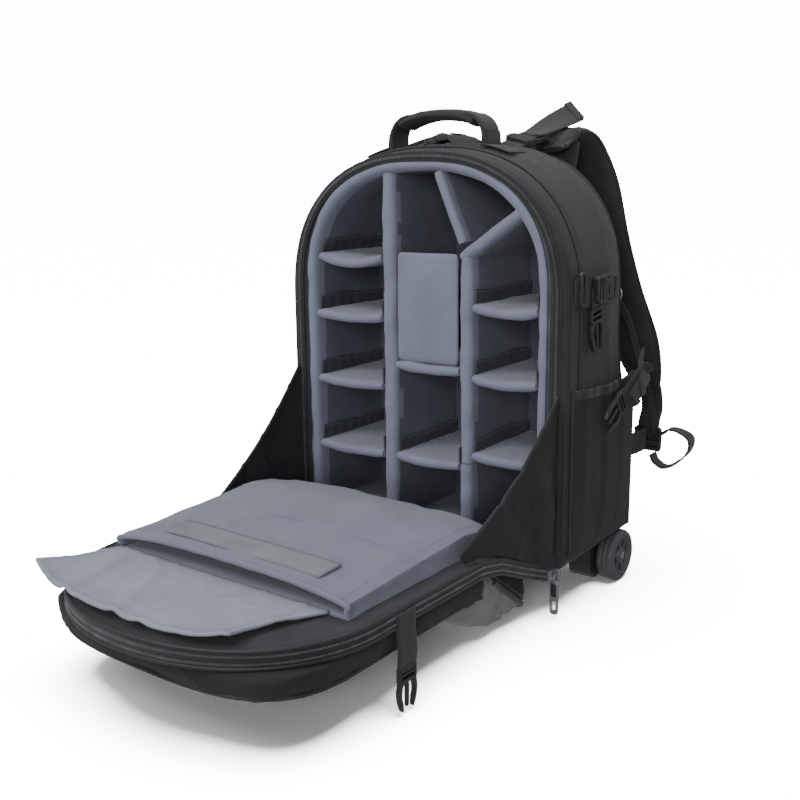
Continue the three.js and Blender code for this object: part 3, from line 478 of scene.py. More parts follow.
def make_floor():
    """White paper floor. Its own lamp makes it white and leaves the bag's soft shadow on it."""
    reach = 6000
    corners = [(x * reach, y * reach, 0) for x, y in ((-1, -1), (1, -1), (1, 1), (-1, 1))]
    obj = mesh_object("floor", corners, [(0, 1, 2, 3)])
    shader = Shader("floor_paper")
    shader.set(base=(0.86, 0.86, 0.86), roughness=0.9, specular=0.2)
    obj.data.materials.append(shader.material)
    obj.visible_diffuse = False
    obj.visible_glossy = False
    data = bpy.data.lights.new("floor_lamp", "SUN")
    data.angle = math.radians(FLOOR_LAMP["spread"])
    data.energy = FLOOR_LAMP["strength"]
    lamp = bpy.data.objects.new("floor_lamp", data)
    bpy.context.scene.collection.objects.link(lamp)
    lit = bpy.data.collections.new("lit_by_floor_lamp")
    lit.objects.link(obj)
    lamp.light_linking.receiver_collection = lit


# Materials

class Shader:
    """A Principled material and short ways to add nodes to it."""

    def __init__(self, name):
        self.material = bpy.data.materials.new(name)
        self.material.use_nodes = True
        self.tree = self.material.node_tree
        self.bsdf = self.tree.nodes["Principled BSDF"]
        self.sources = {}

    def node(self, kind, **inputs):
        made = self.tree.nodes.new(kind)
        for key, value in inputs.items():
            if key in made.bl_rna.properties:
                setattr(made, key, value)
            else:
                self.feed(made.inputs[key.replace("_", " ")], value)
        return made

    def feed(self, socket, value):
        if isinstance(value, bpy.types.NodeSocket):
            self.tree.links.new(value, socket)
        else:
            socket.default_value = value

    def coordinates(self, kind):
        if kind not in self.sources:
            self.sources[kind] = self.node("ShaderNodeTexCoord").outputs[kind]
        return self.sources[kind]

    def math(self, operation, first, second=0.0, third=0.0):
        made = self.node("ShaderNodeMath", operation=operation)
        for socket, value in zip(made.inputs, (first, second, third)):
            self.feed(socket, value)
        return made.outputs[0]

    def noise(self, size, detail, roughness, stretch=None):
        vector = self.coordinates("Object")
        if stretch:
            mapping = self.node("ShaderNodeMapping")
            self.feed(mapping.inputs["Vector"], vector)
            mapping.inputs["Scale"].default_value = stretch
            vector = mapping.outputs[0]
        made = self.node("ShaderNodeTexNoise", Scale=1 / (size * MM), Detail=detail, Roughness=roughness)
        self.feed(made.inputs["Vector"], vector)
        return made.outputs[0]

    def waves(self, axis, period):
        parts = self.node("ShaderNodeSeparateXYZ", Vector=self.coordinates("UV"))
        turns = self.math("MULTIPLY", parts.outputs[axis], 2 * math.pi / (period * MM))
        return self.math("SINE", turns)

    def spread(self, value, low, high, to_low=0.0, to_high=1.0):
        made = self.node("ShaderNodeMapRange")
        for socket, number in zip(made.inputs, (value, low, high, to_low, to_high)):
            self.feed(socket, number)
        return made.outputs[0]

    def colours(self, share, low, high):
        made = self.node("ShaderNodeMix", data_type="RGBA")
        self.feed(made.inputs["Factor"], share)
        self.feed(made.inputs[6], (*low, 1))
        self.feed(made.inputs[7], (*high, 1))
        return made.outputs[2]

    def bump(self, height, depth, strength):
        made = self.node("ShaderNodeBump", Strength=strength, Distance=depth * MM)
        self.feed(made.inputs["Height"], height)
        if self.bsdf.inputs["Normal"].is_linked:
            self.feed(made.inputs["Normal"], self.bsdf.inputs["Normal"].links[0].from_socket)
        self.feed(self.bsdf.inputs["Normal"], made.outputs[0])

    def set(self, base=None, roughness=None, specular=None, metallic=None, sheen=None):
        names = (("Base Color", base), ("Roughness", roughness), ("Specular IOR Level", specular),
                 ("Metallic", metallic), ("Sheen Weight", sheen))
        for name, value in names:
            if value is None:
                continue
            self.feed(self.bsdf.inputs[name], (*value, 1) if isinstance(value, tuple) else value)


def shade(colour, factor):
    return tuple(channel * factor for channel in colour)


def cloth(name, colour, thread=0.9, depth=0.12, lighter=1.5, roughness=0.8, sheen=0.2, crease=0.5,
          crease_size=40, specular=0.35, twill=False):
    """Woven cloth: threads of a period in millimetres, cloudy colour and small creases."""
    shader = Shader(name)
    if twill:
        parts = shader.node("ShaderNodeSeparateXYZ", Vector=shader.coordinates("UV"))
        total = shader.math("ADD", parts.outputs[0], parts.outputs[1])
        weave = shader.math("SINE", shader.math("MULTIPLY", total, 2 * math.pi / (thread * MM)))
    else:
        weave = shader.math("MULTIPLY", shader.waves(0, thread), shader.waves(1, thread))
    cloud = shader.noise(38, 4, 0.6)
    speck = shader.noise(1.4, 2, 0.6)
    share = shader.math("MULTIPLY_ADD", weave, 0.09, shader.spread(cloud, 0.3, 0.7))
    share = shader.math("MULTIPLY_ADD", shader.spread(speck, 0.3, 0.7), 0.25, share)
    shader.set(base=shader.colours(shader.spread(share, 0.0, 1.25), colour, shade(colour, lighter)),
               roughness=shader.spread(cloud, 0.3, 0.7, roughness - 0.07, roughness + 0.07),
               specular=specular, sheen=sheen)
    shader.bsdf.inputs["Sheen Roughness"].default_value = 0.45
    shader.bump(shader.noise(crease_size, 5, 0.55), crease * 3, 0.6)
    shader.bump(weave, depth, 0.7)
    return shader.material


def ribbed_webbing(name, colour):
    """Flat webbing with fine ribs along it, herringbone across them and rounded edges."""
    shader = Shader(name)
    ribs = shader.waves(0, 2.1)
    picks = shader.waves(1, 1.3)
    height = shader.math("ADD", shader.math("MULTIPLY", ribs, 0.6), shader.math("MULTIPLY", picks, 0.4))
    cloud = shader.noise(20, 3, 0.6)
    shader.set(base=shader.colours(shader.spread(height, -0.8, 0.9), shade(colour, 0.7), shade(colour, 1.9)),
               roughness=shader.spread(cloud, 0.3, 0.7, 0.62, 0.76), specular=0.4, sheen=0.15)
    shader.bump(height, 0.22, 0.8)
    return shader.material


def moulded(name, colour, roughness=0.45, grain=0.05, lighter=1.6):
    """Moulded plastic or rubber: fine grain, handling marks and slightly uneven gloss."""
    shader = Shader(name)
    grain_noise = shader.noise(0.9, 2, 0.6)
    cloud = shader.noise(14, 4, 0.6)
    shader.set(base=shader.colours(shader.spread(cloud, 0.35, 0.75), colour, shade(colour, lighter)),
               roughness=shader.spread(cloud, 0.3, 0.7, roughness - 0.06, roughness + 0.1), specular=0.5)
    shader.bump(grain_noise, grain, 0.6)
    return shader.material


def plated(name, colour):
    """Plated or painted metal with fine scratches."""
    shader = Shader(name)
    scratches = shader.noise(3, 5, 0.7, stretch=(1, 1, 8))
    shader.set(base=shader.colours(shader.spread(scratches, 0.4, 0.6), shade(colour, 0.8), colour),
               roughness=shader.spread(scratches, 0.35, 0.65, 0.32, 0.48), metallic=0.9)
    shader.bump(scratches, 0.04, 0.4)
    return shader.material


NYLON = (0.0165, 0.0172, 0.0198)
GREY = (0.165, 0.178, 0.245)


def make_materials():
    FINISH.update(
        nylon=cloth("black_nylon", NYLON, thread=1.0, depth=0.16, lighter=2.1, roughness=0.72, sheen=0.12),
        side_nylon=cloth("matt_black_nylon", shade(NYLON, 0.8), thread=1.0, depth=0.16, lighter=1.9,
                         roughness=0.82, sheen=0.06),
        insert=cloth("blue_grey_loop_nylon", GREY, thread=0.8, depth=0.07, lighter=1.28, roughness=0.74,
                     sheen=0.3, crease=0.35, crease_size=30),
        sleeve=cloth("blue_grey_sleeve_nylon", shade(GREY, 0.84), thread=0.8, depth=0.07, lighter=1.25,
                     roughness=0.66, sheen=0.3, crease=0.4, crease_size=45),
        flap=cloth("light_grey_lining", (0.235, 0.25, 0.31), thread=0.7, depth=0.06, lighter=1.2,
                   roughness=0.7, sheen=0.25, crease=0.35, crease_size=50),
        # inner is the insert's grey at half brightness: painted shade for the deep walls of the bays.
        inner=cloth("blue_grey_nylon_painted_shade", shade(GREY, 0.5), thread=0.8, depth=0.09, lighter=1.35,
                    roughness=0.7, sheen=0.25, crease=0.6, crease_size=24),
        tab=cloth("charcoal_tab_nylon", (0.036, 0.039, 0.052), thread=0.9, depth=0.1, lighter=1.6,
                  roughness=0.8, sheen=0.15),
        hook=cloth("grey_hook_tape", (0.15, 0.16, 0.185), thread=1.3, depth=0.3, lighter=1.5, roughness=0.85,
                   sheen=0.25),
        coated=cloth("coated_grey_nylon", (0.15, 0.156, 0.165), thread=1.1, depth=0.1, lighter=1.3,
                     roughness=0.42, sheen=0.05, specular=0.5, crease=0.7, crease_size=28),
        mesh=cloth("black_air_mesh", shade(NYLON, 0.9), thread=3.4, depth=0.7, lighter=2.4, roughness=0.85,
                   sheen=0.2),
        binding=cloth("black_binding_tape", shade(NYLON, 0.75), thread=1.2, depth=0.14, lighter=2.2,
                      roughness=0.7, sheen=0.2, twill=True),
        piping=cloth("black_piping", shade(NYLON, 1.1), thread=1.0, depth=0.05, lighter=1.8, roughness=0.5,
                     sheen=0.1),
        webbing=ribbed_webbing("black_ribbed_webbing", (0.017, 0.018, 0.02)),
        plastic=moulded("black_acetal", (0.016, 0.0165, 0.018), roughness=0.42, lighter=1.7),
        rubber=moulded("grey_wheel_rubber", (0.055, 0.058, 0.064), roughness=0.6, lighter=1.35, grain=0.12),
        hub=moulded("grey_wheel_hub", (0.06, 0.062, 0.067), roughness=0.45, lighter=1.3),
        metal=plated("gunmetal_slider", (0.33, 0.34, 0.36)),
        teeth=moulded("grey_zipper_coil", (0.09, 0.092, 0.098), roughness=0.35, lighter=1.8),
        thread_dark=cloth("black_thread", (0.03, 0.031, 0.034), thread=0.4, depth=0.05, roughness=0.6),
        thread_grey=cloth("grey_thread", (0.22, 0.235, 0.29), thread=0.4, depth=0.05, roughness=0.6),
    )


# Repeats that follow a path, made by Geometry Nodes

def repeat_tree():
    """Rounded studs set along a path at one pitch, turned by the path and by its out attribute."""
    tree = bpy.data.node_groups.new("studs_along_path", "GeometryNodeTree")
    for name, kind, value in (("Path", "Geometry", None), ("Pitch", "Float", 0.004),
                              ("Size", "Vector", (0.003, 0.001, 0.001)), ("Sides", "Int", 5),
                              ("Rings", "Int", 3), ("Finish", "Material", None)):
        socket = tree.interface.new_socket(name, in_out="INPUT", socket_type="NodeSocket" + kind)
        if value is not None:
            socket.default_value = value
    tree.interface.new_socket("Geometry", in_out="OUTPUT", socket_type="NodeSocketGeometry")
    nodes = tree.nodes
    given = nodes.new("NodeGroupInput")
    curve = nodes.new("GeometryNodeMeshToCurve")
    spaced = nodes.new("GeometryNodeResampleCurve")
    spaced.mode = "LENGTH"
    stud = nodes.new("GeometryNodeMeshUVSphere")
    stud.inputs["Radius"].default_value = 0.5
    along = nodes.new("GeometryNodeInputTangent")
    out = nodes.new("GeometryNodeInputNamedAttribute")
    out.data_type = "FLOAT_VECTOR"
    out.inputs["Name"].default_value = "out"
    first = nodes.new("FunctionNodeAlignRotationToVector")
    first.axis = "X"
    second = nodes.new("FunctionNodeAlignRotationToVector")
    second.axis = "Z"
    second.pivot_axis = "X"
    copies = nodes.new("GeometryNodeInstanceOnPoints")
    real = nodes.new("GeometryNodeRealizeInstances")
    finish = nodes.new("GeometryNodeSetMaterial")
    result = nodes.new("NodeGroupOutput")
    for source, output, target, entry in (
            (given, "Path", curve, "Mesh"),
            (curve, "Curve", spaced, "Curve"),
            (given, "Pitch", spaced, "Length"),
            (given, "Sides", stud, "Segments"),
            (given, "Rings", stud, "Rings"),
            (along, "Tangent", first, "Vector"),
            (first, "Rotation", second, "Rotation"),
            (out, "Attribute", second, "Vector"),
            (spaced, "Curve", copies, "Points"),
            (stud, "Mesh", copies, "Instance"),
            (second, "Rotation", copies, "Rotation"),
            (given, "Size", copies, "Scale"),
            (copies, "Instances", real, "Geometry"),
            (real, "Geometry", finish, "Geometry"),
            (given, "Finish", finish, "Material"),
            (finish, "Geometry", result, "Geometry")):
        tree.links.new(source.outputs[output], target.inputs[entry])
    return tree


REPEAT = {}


def studs(name, paths, outs, pitch, size, material, sides=5, rings=3):
    """Sets studs, such as stitches or zipper teeth, along each path. Lengths are in millimetres."""
    points, edges, normals = [], [], []
    for path, out in zip(paths, outs):
        path = np.asarray(path, float)
        start = len(points)
        points += path.tolist()
        normals += np.broadcast_to(np.asarray(out, float), path.shape).tolist()
        edges += [(start + i, start + i + 1) for i in range(len(path) - 1)]
    mesh = bpy.data.meshes.new(name)
    mesh.from_pydata((np.array(points) * MM).tolist(), edges, [])
    attribute = mesh.attributes.new("out", "FLOAT_VECTOR", "POINT")
    attribute.data.foreach_set("vector", np.array(normals, np.float32).ravel())
    obj = link(mesh, name)
    if "tree" not in REPEAT:
        REPEAT["tree"] = repeat_tree()
    tree = REPEAT["tree"]
    modifier = obj.modifiers.new("studs", "NODES")
    modifier.node_group = tree
    values = {"Pitch": pitch * MM, "Size": [length * MM for length in size], "Sides": sides, "Rings": rings,
              "Finish": FINISH[material]}
    for item in tree.interface.items_tree:
        if item.item_type == "SOCKET" and item.in_out == "INPUT" and item.name in values:
            modifier[item.identifier] = values[item.name]
    evaluated = obj.evaluated_get(bpy.context.evaluated_depsgraph_get())
    made = bpy.data.meshes.new_from_object(evaluated)
    obj.modifiers.clear()
    obj.data = made
    made.polygons.foreach_set("use_smooth", [True] * len(made.polygons))
    return dress(obj, material)


# Outlines that the case, the insert and the door share

def arch(half, bottom, spring, top, corner):
    """Rounded lower corners, straight sides and a round top, as a closed ring of (x, z) points."""
    flat = [(x, bottom) for x in np.linspace(0, half - corner, 9)[:-1]]
    turn = [(half - corner + corner * math.sin(a), bottom + corner - corner * math.cos(a))
            for a in np.linspace(0, math.pi / 2, 7)[:-1]]
    side = [(half, z) for z in np.linspace(bottom + corner, spring, 21)[:-1]]
    bend = 2 / ARCH_POWER
    top_arc = [(half * max(math.cos(a), 0) ** bend, spring + (top - spring) * math.sin(a) ** bend)
               for a in np.linspace(0, math.pi / 2, 31)]
    right = flat + turn + side + top_arc
    return np.array(right + [(-x, z) for x, z in right[-2:0:-1]])


CASE_SECTIONS = (
    {"depth": 0, "tuck_low": 0.018, "tuck_high": 0.018, "rise": -0.004, "lift": 0.006},
    {"depth": 0.035, "tuck_low": 0, "tuck_high": 0, "rise": 0.004, "lift": 0},
    {"depth": 0.3, "tuck_low": 0, "tuck_high": 0, "rise": 0.026, "lift": 0},
    {"depth": 0.58, "tuck_low": 0, "tuck_high": 0.006, "rise": 0.03, "lift": 0},
    {"depth": 0.865, "tuck_low": 0.01, "tuck_high": 0.066, "rise": 0.024, "lift": 0},
    {"depth": 0.95, "tuck_low": 0.035, "tuck_high": 0.125, "rise": 0.01, "lift": 0.02},
    {"depth": 1, "tuck_low": 0.08, "tuck_high": 0.19, "rise": -0.01, "lift": 0.036},
)
TUCK_FROM = 0.24
TUCK_TO = 0.56


def case_ring(share, inset=0.0):
    """The case's outside at a share of its depth, as a closed ring of points."""
    height = CASE_TOP - CASE_BOTTOM
    outline = arch(CASE_HALF - inset, CASE_BOTTOM + inset, CASE_SPRING, CASE_TOP - inset,
                   max(CASE_CORNER - inset, 4))
    x, z = outline[:, 0], outline[:, 1]
    up = (z - CASE_BOTTOM) / height
    column = {name: linear(CASE_SECTIONS, "depth", name, share)
              for name in ("tuck_low", "tuck_high", "rise", "lift")}
    tuck = mix(column["tuck_low"], column["tuck_high"], smooth((up - TUCK_FROM) / (TUCK_TO - TUCK_FROM)))
    raised = z + height * (column["rise"] * smooth(up) + column["lift"] * (1 - smooth(up * 2)))
    return np.stack([x * (1 - tuck), np.full_like(x, share * CASE_DEPTH), raised], axis=1)


def height_over(ring, spring, x):
    """Height of a ring's round top, which begins at spring, at a distance from its middle."""
    upper = ring[ring[:, 2] > spring]
    order = np.argsort(upper[:, 0])
    return float(np.interp(x, upper[order, 0], upper[order, 2]))


def case_top(x, y):
    return height_over(case_ring(y / CASE_DEPTH), CASE_SPRING, x)


def insert_ring(inset, y):
    outline = arch(INSERT_HALF - inset, INSERT_BOTTOM + inset, INSERT_SPRING, INSERT_TOP - inset,
                   max(INSERT_CORNER - inset, 2))
    return np.stack([outline[:, 0], np.full(len(outline), float(y)), outline[:, 1]], axis=1)


def ring_out(ring):
    """Outward directions of a closed ring in its own plane across Y."""
    tangent = unit(np.roll(ring, -1, axis=0) - np.roll(ring, 1, axis=0))
    return unit(np.stack([tangent[:, 2], np.zeros(len(ring)), -tangent[:, 0]], axis=1))


def part_of_ring(ring, lowest):
    """The stretch of a ring above a height, from its right side over the top to its left side."""
    start = next(i for i, point in enumerate(ring) if point[2] >= lowest and point[0] > 0)
    return ring[start:len(ring) - start + 1]


DOOR_PROFILE = (
    {"reach": 0, "top": 0},
    {"reach": 0.06, "top": 0.22},
    {"reach": 0.14, "top": 0.52},
    {"reach": 0.22, "top": 0.84},
    {"reach": 0.3, "top": 1},
    {"reach": 0.55, "top": 1},
    {"reach": 1, "top": 0.93},
)


def door_top(y):
    return DOOR_HINGE_TOP + DOOR_RISE * linear(DOOR_PROFILE, "reach", "top", -np.asarray(y) / DOOR_LENGTH)


def door_plan(half, start, spring, end, power, inset=0.0):
    """Plan outline of a door layer from the hinge round its far end, mirrored left and right."""
    sides = np.linspace(start, spring, 25)[:-1]
    arc = np.linspace(0, math.pi / 2, 29)
    right = [(half - inset, -y) for y in sides]
    right += [((half - inset) * max(math.cos(a), 0) ** (2 / power),
               -(spring + (end - inset - spring) * math.sin(a) ** (2 / power))) for a in arc]
    return np.array(right + [(-x, y) for x, y in right[-2::-1]])


def door_ring(size, inset, above):
    """A door outline at a height above the door's own profile. above may vary along it."""
    plan = door_plan(**size, inset=inset)
    return np.stack([plan[:, 0], plan[:, 1], door_top(plan[:, 1]) + above], axis=1)


def door_stack(name, size, levels):
    """Stacks door outlines, each a height above the door's profile and an inset, and closes both faces."""
    rings = [door_ring(size, inset, above) for above, inset in levels]
    obj = skin(name, np.array(rings), around=True, crisp=60)
    mesh = bmesh.new()
    mesh.from_mesh(obj.data)
    mesh.verts.ensure_lookup_table()
    width = rings[0].shape[0]
    for start in (0, (len(rings) - 1) * width):
        for i in range(width // 2):
            ids = [start + i, start + i + 1, start + width - 2 - i, start + width - 1 - i]
            ids = list(dict.fromkeys(ids))
            if len(ids) > 2:
                mesh.faces.new([mesh.verts[v] for v in ids])
    mesh.to_mesh(obj.data)
    mesh.free()
    face_out(obj)
    shade_smooth(obj.data, 60)
    return obj


# Case

SEAM_Y = SEAM_SHARE * CASE_DEPTH


def well_cutter(side):
    """The room that a wheel needs in the case's lower rear corner."""
    inner = INSERT_HALF + 1.3
    top = 2 * WHEEL_RADIUS + 4
    front = WHEEL_Y - WHEEL_RADIUS - 10
    outline = [(front, -5), (front, top - 14), (front + 14, top), (CASE_DEPTH + 20, top),
               (CASE_DEPTH + 20, -5)]
    rows = [[(side * x, y, z) for y, z in outline] for x in (inner, CASE_HALF + 20)]
    return skin("well_cutter", rows, around=True, caps=True)


def make_case():
    """Nylon shell with a stiff front band, a seam behind it and soft folds over the top and sides."""
    mouth = insert_ring(-0.4, LIP_DEPTH)
    lip = insert_ring(-0.6, 1.5)
    rim = case_ring(0.0, 1.2)
    rows = [mouth, lip, mix(lip, rim, 0.25) - [0, 0.5, 0], mix(lip, rim, 0.75) - [0, 0.6, 0], rim]
    rows += [case_ring(share) for share in
             (0.012, 0.035, 0.06, 0.09, 0.12, 0.14, 0.15, 0.155, 0.16, 0.17, 0.19)]
    rows += [case_ring(share) for share in np.linspace(0.23, 0.97, 30)]
    back = case_ring(1.0)
    rows += [case_ring(0.99), back]
    middle = np.array([0, CASE_DEPTH, (CASE_TOP + CASE_BOTTOM) / 2])
    rows += [mix(back, middle, share) for share in (0.06, 0.2, 0.4, 0.6, 0.8, 0.97)]
    obj = skin("case_cover", rows, around=True)
    close_ring(obj, (len(rows) - 1) * len(back), len(back))

    def folds(points):
        y, z = points[:, 1], points[:, 2]
        behind = smooth((y - SEAM_Y) / 14) * smooth((CASE_DEPTH - 2 - y) / 12)
        soft = ripple(points * [1, 1, 0.55], 95, 3) * 1.5 + creases(points * [1, 0.8, 0.35], 70, 11) * 1.5
        band_wave = ripple(points, 60, 5) * 0.45 * (1 - behind)
        seam = -1.1 * np.exp(-((y - SEAM_Y) / 1.8) ** 2) * (z > CASE_BOTTOM + 4)
        low = smooth((z - CASE_BOTTOM) / 12)
        return (soft * behind + band_wave) * low * (y > 2) + seam - 0.5 * behind
    relief(obj, folds)
    baked(obj, solid_wall(2.5))
    cut_by(obj, [well_cutter(side) for _, side in SIDES])
    shade_smooth(obj.data, 50)
    dress(obj, "nylon", "case_shell")


def make_case_trim():
    """Piping on the two body seams and the zipper tape and teeth round the mouth."""
    for name, share, radius, lowest in (("front_piping", SEAM_SHARE, 1.5, 70), ("rear_piping", 0.9, 1.9, 80)):
        ring = case_ring(share)
        path = part_of_ring(ring + ring_out(ring) * (radius * 0.5 - 0.3), lowest)
        piped(name, spline(path, 260), radius, (0, 1, 0), "piping")
    edge = case_ring(0.012)
    path = part_of_ring(edge - ring_out(edge) * 0.8, 62)
    piped("mouth_binding", spline(path, 260), 1.7, (0, 1, 0), "binding")
    inner, outer = insert_ring(-0.6, 0.7), case_ring(0.0, 1.2)
    centre = part_of_ring(mix(inner, outer, 0.55) - [0, 0.9, 0], 62)
    path = spline(centre, 300)
    across = np.cross(frames_along(path)[0], [0, 1, 0])
    dress(band("mouth_zipper_tape", path, across, 9.5, 1.0), "binding")
    studs("mouth_zipper_teeth", [path - [0, 1.0, 0]], [(0, -1, 0)], 1.55, (0.9, 4.6, 1.7), "teeth")
    stitch = part_of_ring(case_ring(0.075) + ring_out(case_ring(0.075)) * 0.25, 62)
    rear = part_of_ring(case_ring(0.205) + ring_out(case_ring(0.205)) * -0.2, 62)
    studs("case_stitches", [spline(stitch, 260), spline(rear, 260)], [(0, 0, 1), (0, 0, 1)], 4.2,
          (3.0, 0.6, 0.6), "thread_dark", sides=6, rings=4)


# Padded insert and everything in it

def make_insert():
    """Foam tray with a thick rounded rim that waves a little, and a seam round its back."""
    profile = ((0.4, 60), (0.2, 20), (0.2, 6), (0.9, 2.2), (2.6, -0.2), (5.0, -1.3), (7.4, -1.1), (9.8, 0.6),
               (11.4, 3.2), (12.0, 7), (12.1, 15))
    rows = [insert_ring(inset, y) for inset, y in profile]
    rows += [insert_ring(INSERT_WALL, y) for y in np.linspace(24, INSERT_DEPTH - 5, 15)]
    rows += [insert_ring(INSERT_WALL + 1.5, INSERT_DEPTH - 1.2), insert_ring(INSERT_WALL + 5, INSERT_DEPTH)]
    back = insert_ring(INSERT_WALL + 5, INSERT_DEPTH)
    middle = np.array([0, INSERT_DEPTH, 240.0])
    rows += [mix(back, middle, share) for share in (0.08, 0.2, 0.35, 0.5, 0.65, 0.8, 0.96)]
    obj = skin("insert_tray", rows, around=True)
    close_ring(obj, (len(rows) - 1) * len(back), len(back))

    def soft(points):
        y = points[:, 1]
        rim = np.exp(-(y / 9) ** 2)
        walls = smooth((y - 8) / 14)
        return (ripple(points * [1, 0.3, 1], 34, 21) * 0.7 * rim
                + ripple(points, 26, 22) * 0.25 * rim
                + ripple(points, 60, 23) * 0.9 * walls
                + creases(points * [1, 0.6, 0.5], 46, 24) * 0.9 * walls)
    relief(obj, soft)
    baked(obj, solid_wall(1.0))
    dress(obj, "insert", "padded_insert")
    # Faces more than 13 mm deep get the half-bright grey: painted shade inside the tray.
    painted_shade_behind(obj, 13, "inner")
    piped("insert_edge_seam", insert_ring(1.6, 0.6), 0.8, (0, 1, 0), "tab", "insert", sides=6, closed=True)


def board(name, path, thickness, front, back, seed, crown=0.14, wave=0.8, bow=0.0):
    """A padded wall seen edge on from the front. path holds (x, z) points of its middle line."""
    path = np.asarray(path, float)
    steps = len(path)
    along = np.gradient(path, axis=0)
    along = along / np.linalg.norm(along, axis=1, keepdims=True)
    across = np.stack([-along[:, 1], along[:, 0]], axis=1)
    t = np.linspace(0, 1, steps)
    ends = np.clip(np.minimum(t, 1 - t) * 9, 0, 1)
    place = np.stack([path[:, 0], np.zeros(steps), path[:, 1]], axis=1)
    swell = 1 + crown * (smooth(ends) - 0.5) + 0.05 * ripple(place, 30, seed)
    forward = front - bow * np.sin(math.pi * t) + wave * ripple(place, 34, seed + 1) * ends
    sway = wave * 0.8 * ripple(place, 70, seed + 2) * ends
    outline = []
    for angle in np.linspace(0, math.pi, 13):
        outline.append((math.cos(angle) * 0.5, 0.0, -math.sin(angle) * 0.5))
    for depth in np.linspace(0.06, 1, 14):
        outline.append((-0.5, depth, 0.0))
    for depth in np.linspace(1, 0.06, 14):
        outline.append((0.5, depth, 0.0))
    rows = []
    for i in range(steps):
        row = []
        for side, depth, nose in outline:
            reach = thickness * (swell[i] if depth < 0.5 else 1)
            start = forward[i] + thickness * 0.5
            y = mix(start, back, depth) + nose * thickness
            puff = 1 + 0.06 * math.sin(math.pi * min(depth * 1.6, 1))
            offset = side * reach * puff + sway[i] * (1 - depth)
            row.append((path[i, 0] + across[i, 0] * offset, y, path[i, 1] + across[i, 1] * offset))
        rows.append(row)
    obj = skin(name, rows, around=True, caps=True, crisp=70)
    relief(obj, lambda points: ripple(points, 42, seed + 5) * 0.35 + creases(points, 36, seed + 6) * 0.4)
    return obj


def straight(x1, z1, x2, z2, count=24):
    return np.stack([np.linspace(x1, x2, count), np.linspace(z1, z2, count)], axis=1)


def wall_x(z, side):
    """Where the insert's inner wall is at a height, on one side."""
    ring = insert_ring(INSERT_WALL, 0)
    half = ring[ring[:, 0] >= 0]
    order = np.argsort(half[:, 2])
    return side * float(np.interp(z, half[order, 2], half[order, 0]))


def ceiling(x):
    return height_over(insert_ring(INSERT_WALL, 0), INSERT_SPRING, x)


DIVIDER_LEFT = {"x": -46, "thickness": 16}
DIVIDER_RIGHT = {"x": 48, "thickness": 13.6}
DIVIDER_SPLIT = 133
DIAGONAL_HIGH = {"x1": 22, "z1": 413, "x2": 50.6, "z2": 347, "thickness": 9}
DIAGONAL_LOW = {"x1": 50, "z1": 333, "x2": 124, "z2": 383, "thickness": 11}
FLOOR_Z = INSERT_BOTTOM + INSERT_WALL


def make_dividers():
    left_x = DIVIDER_LEFT["x"] + DIVIDER_LEFT["thickness"] / 2
    right_x = DIVIDER_RIGHT["x"] + DIVIDER_RIGHT["thickness"] / 2
    rows = (
        {"name": "divider_left", "path": straight(left_x, FLOOR_Z - 1, left_x, ceiling(left_x) + 1, 60),
         "thickness": DIVIDER_LEFT["thickness"] - 1, "seed": 31},
        {"name": "divider_right", "path": straight(right_x, DIVIDER_SPLIT + 0.6, right_x, 334, 40),
         "thickness": DIVIDER_RIGHT["thickness"], "seed": 37},
        {"name": "divider_right_lower",
         "path": straight(right_x, FLOOR_Z - 1, right_x, DIVIDER_SPLIT - 0.6, 20),
         "thickness": DIVIDER_RIGHT["thickness"], "seed": 43},
        {"name": "diagonal_divider_high",
         "path": straight(*[DIAGONAL_HIGH[key] for key in ("x1", "z1", "x2", "z2")], 24),
         "thickness": DIAGONAL_HIGH["thickness"], "seed": 47},
        {"name": "diagonal_divider_low",
         "path": straight(*[DIAGONAL_LOW[key] for key in ("x1", "z1", "x2", "z2")], 28),
         "thickness": DIAGONAL_LOW["thickness"], "seed": 53},
    )
    for row in rows:
        obj = board(row["name"] + "_pad", row["path"], row["thickness"], 0.6, INSERT_DEPTH - 0.5, row["seed"],
                    wave=0.9)
        dress(obj, "insert", row["name"])
        # Faces more than 11 mm deep get the half-bright grey: painted shade on the dividers' walls.
        painted_shade_behind(obj, 11, "inner")


COLUMNS = {
    "left": (-INSERT_INNER, DIVIDER_LEFT["x"]),
    "middle": (DIVIDER_LEFT["x"] + DIVIDER_LEFT["thickness"], DIVIDER_RIGHT["x"]),
    "right": (DIVIDER_RIGHT["x"] + DIVIDER_RIGHT["thickness"], INSERT_INNER),
}
SHELVES = (
    {"name": "shelf_left_1", "column": "left", "bottom": 325, "sag": 6.5, "bow": 1.0, "front": 3.2},
    {"name": "shelf_left_2", "column": "left", "bottom": 265, "sag": 2.2, "bow": 1.5, "front": 1.6},
    {"name": "shelf_left_3", "column": "left", "bottom": 195, "sag": 1.6, "bow": 1.5, "front": 1.6},
    {"name": "shelf_left_4", "column": "left", "bottom": 123, "sag": 1.4, "bow": 1.2, "front": 1.6},
    {"name": "shelf_middle_1", "column": "middle", "bottom": 219, "sag": 1.2, "bow": 1.0, "front": 1.4},
    {"name": "shelf_middle_2", "column": "middle", "bottom": 124, "sag": 1.4, "bow": 1.2, "front": 1.4},
    {"name": "shelf_right_1", "column": "right", "bottom": 282, "sag": 4.0, "bow": 1.5, "front": 1.6},
    {"name": "shelf_right_2", "column": "right", "bottom": 214, "sag": 3.4, "bow": 1.5, "front": 1.6},
    {"name": "shelf_right_3", "column": "right", "bottom": 137, "sag": 1.6, "bow": 1.2, "front": 1.6},
)
SHELF_THICKNESS = 8.5
TAB_HEIGHT = 18.5


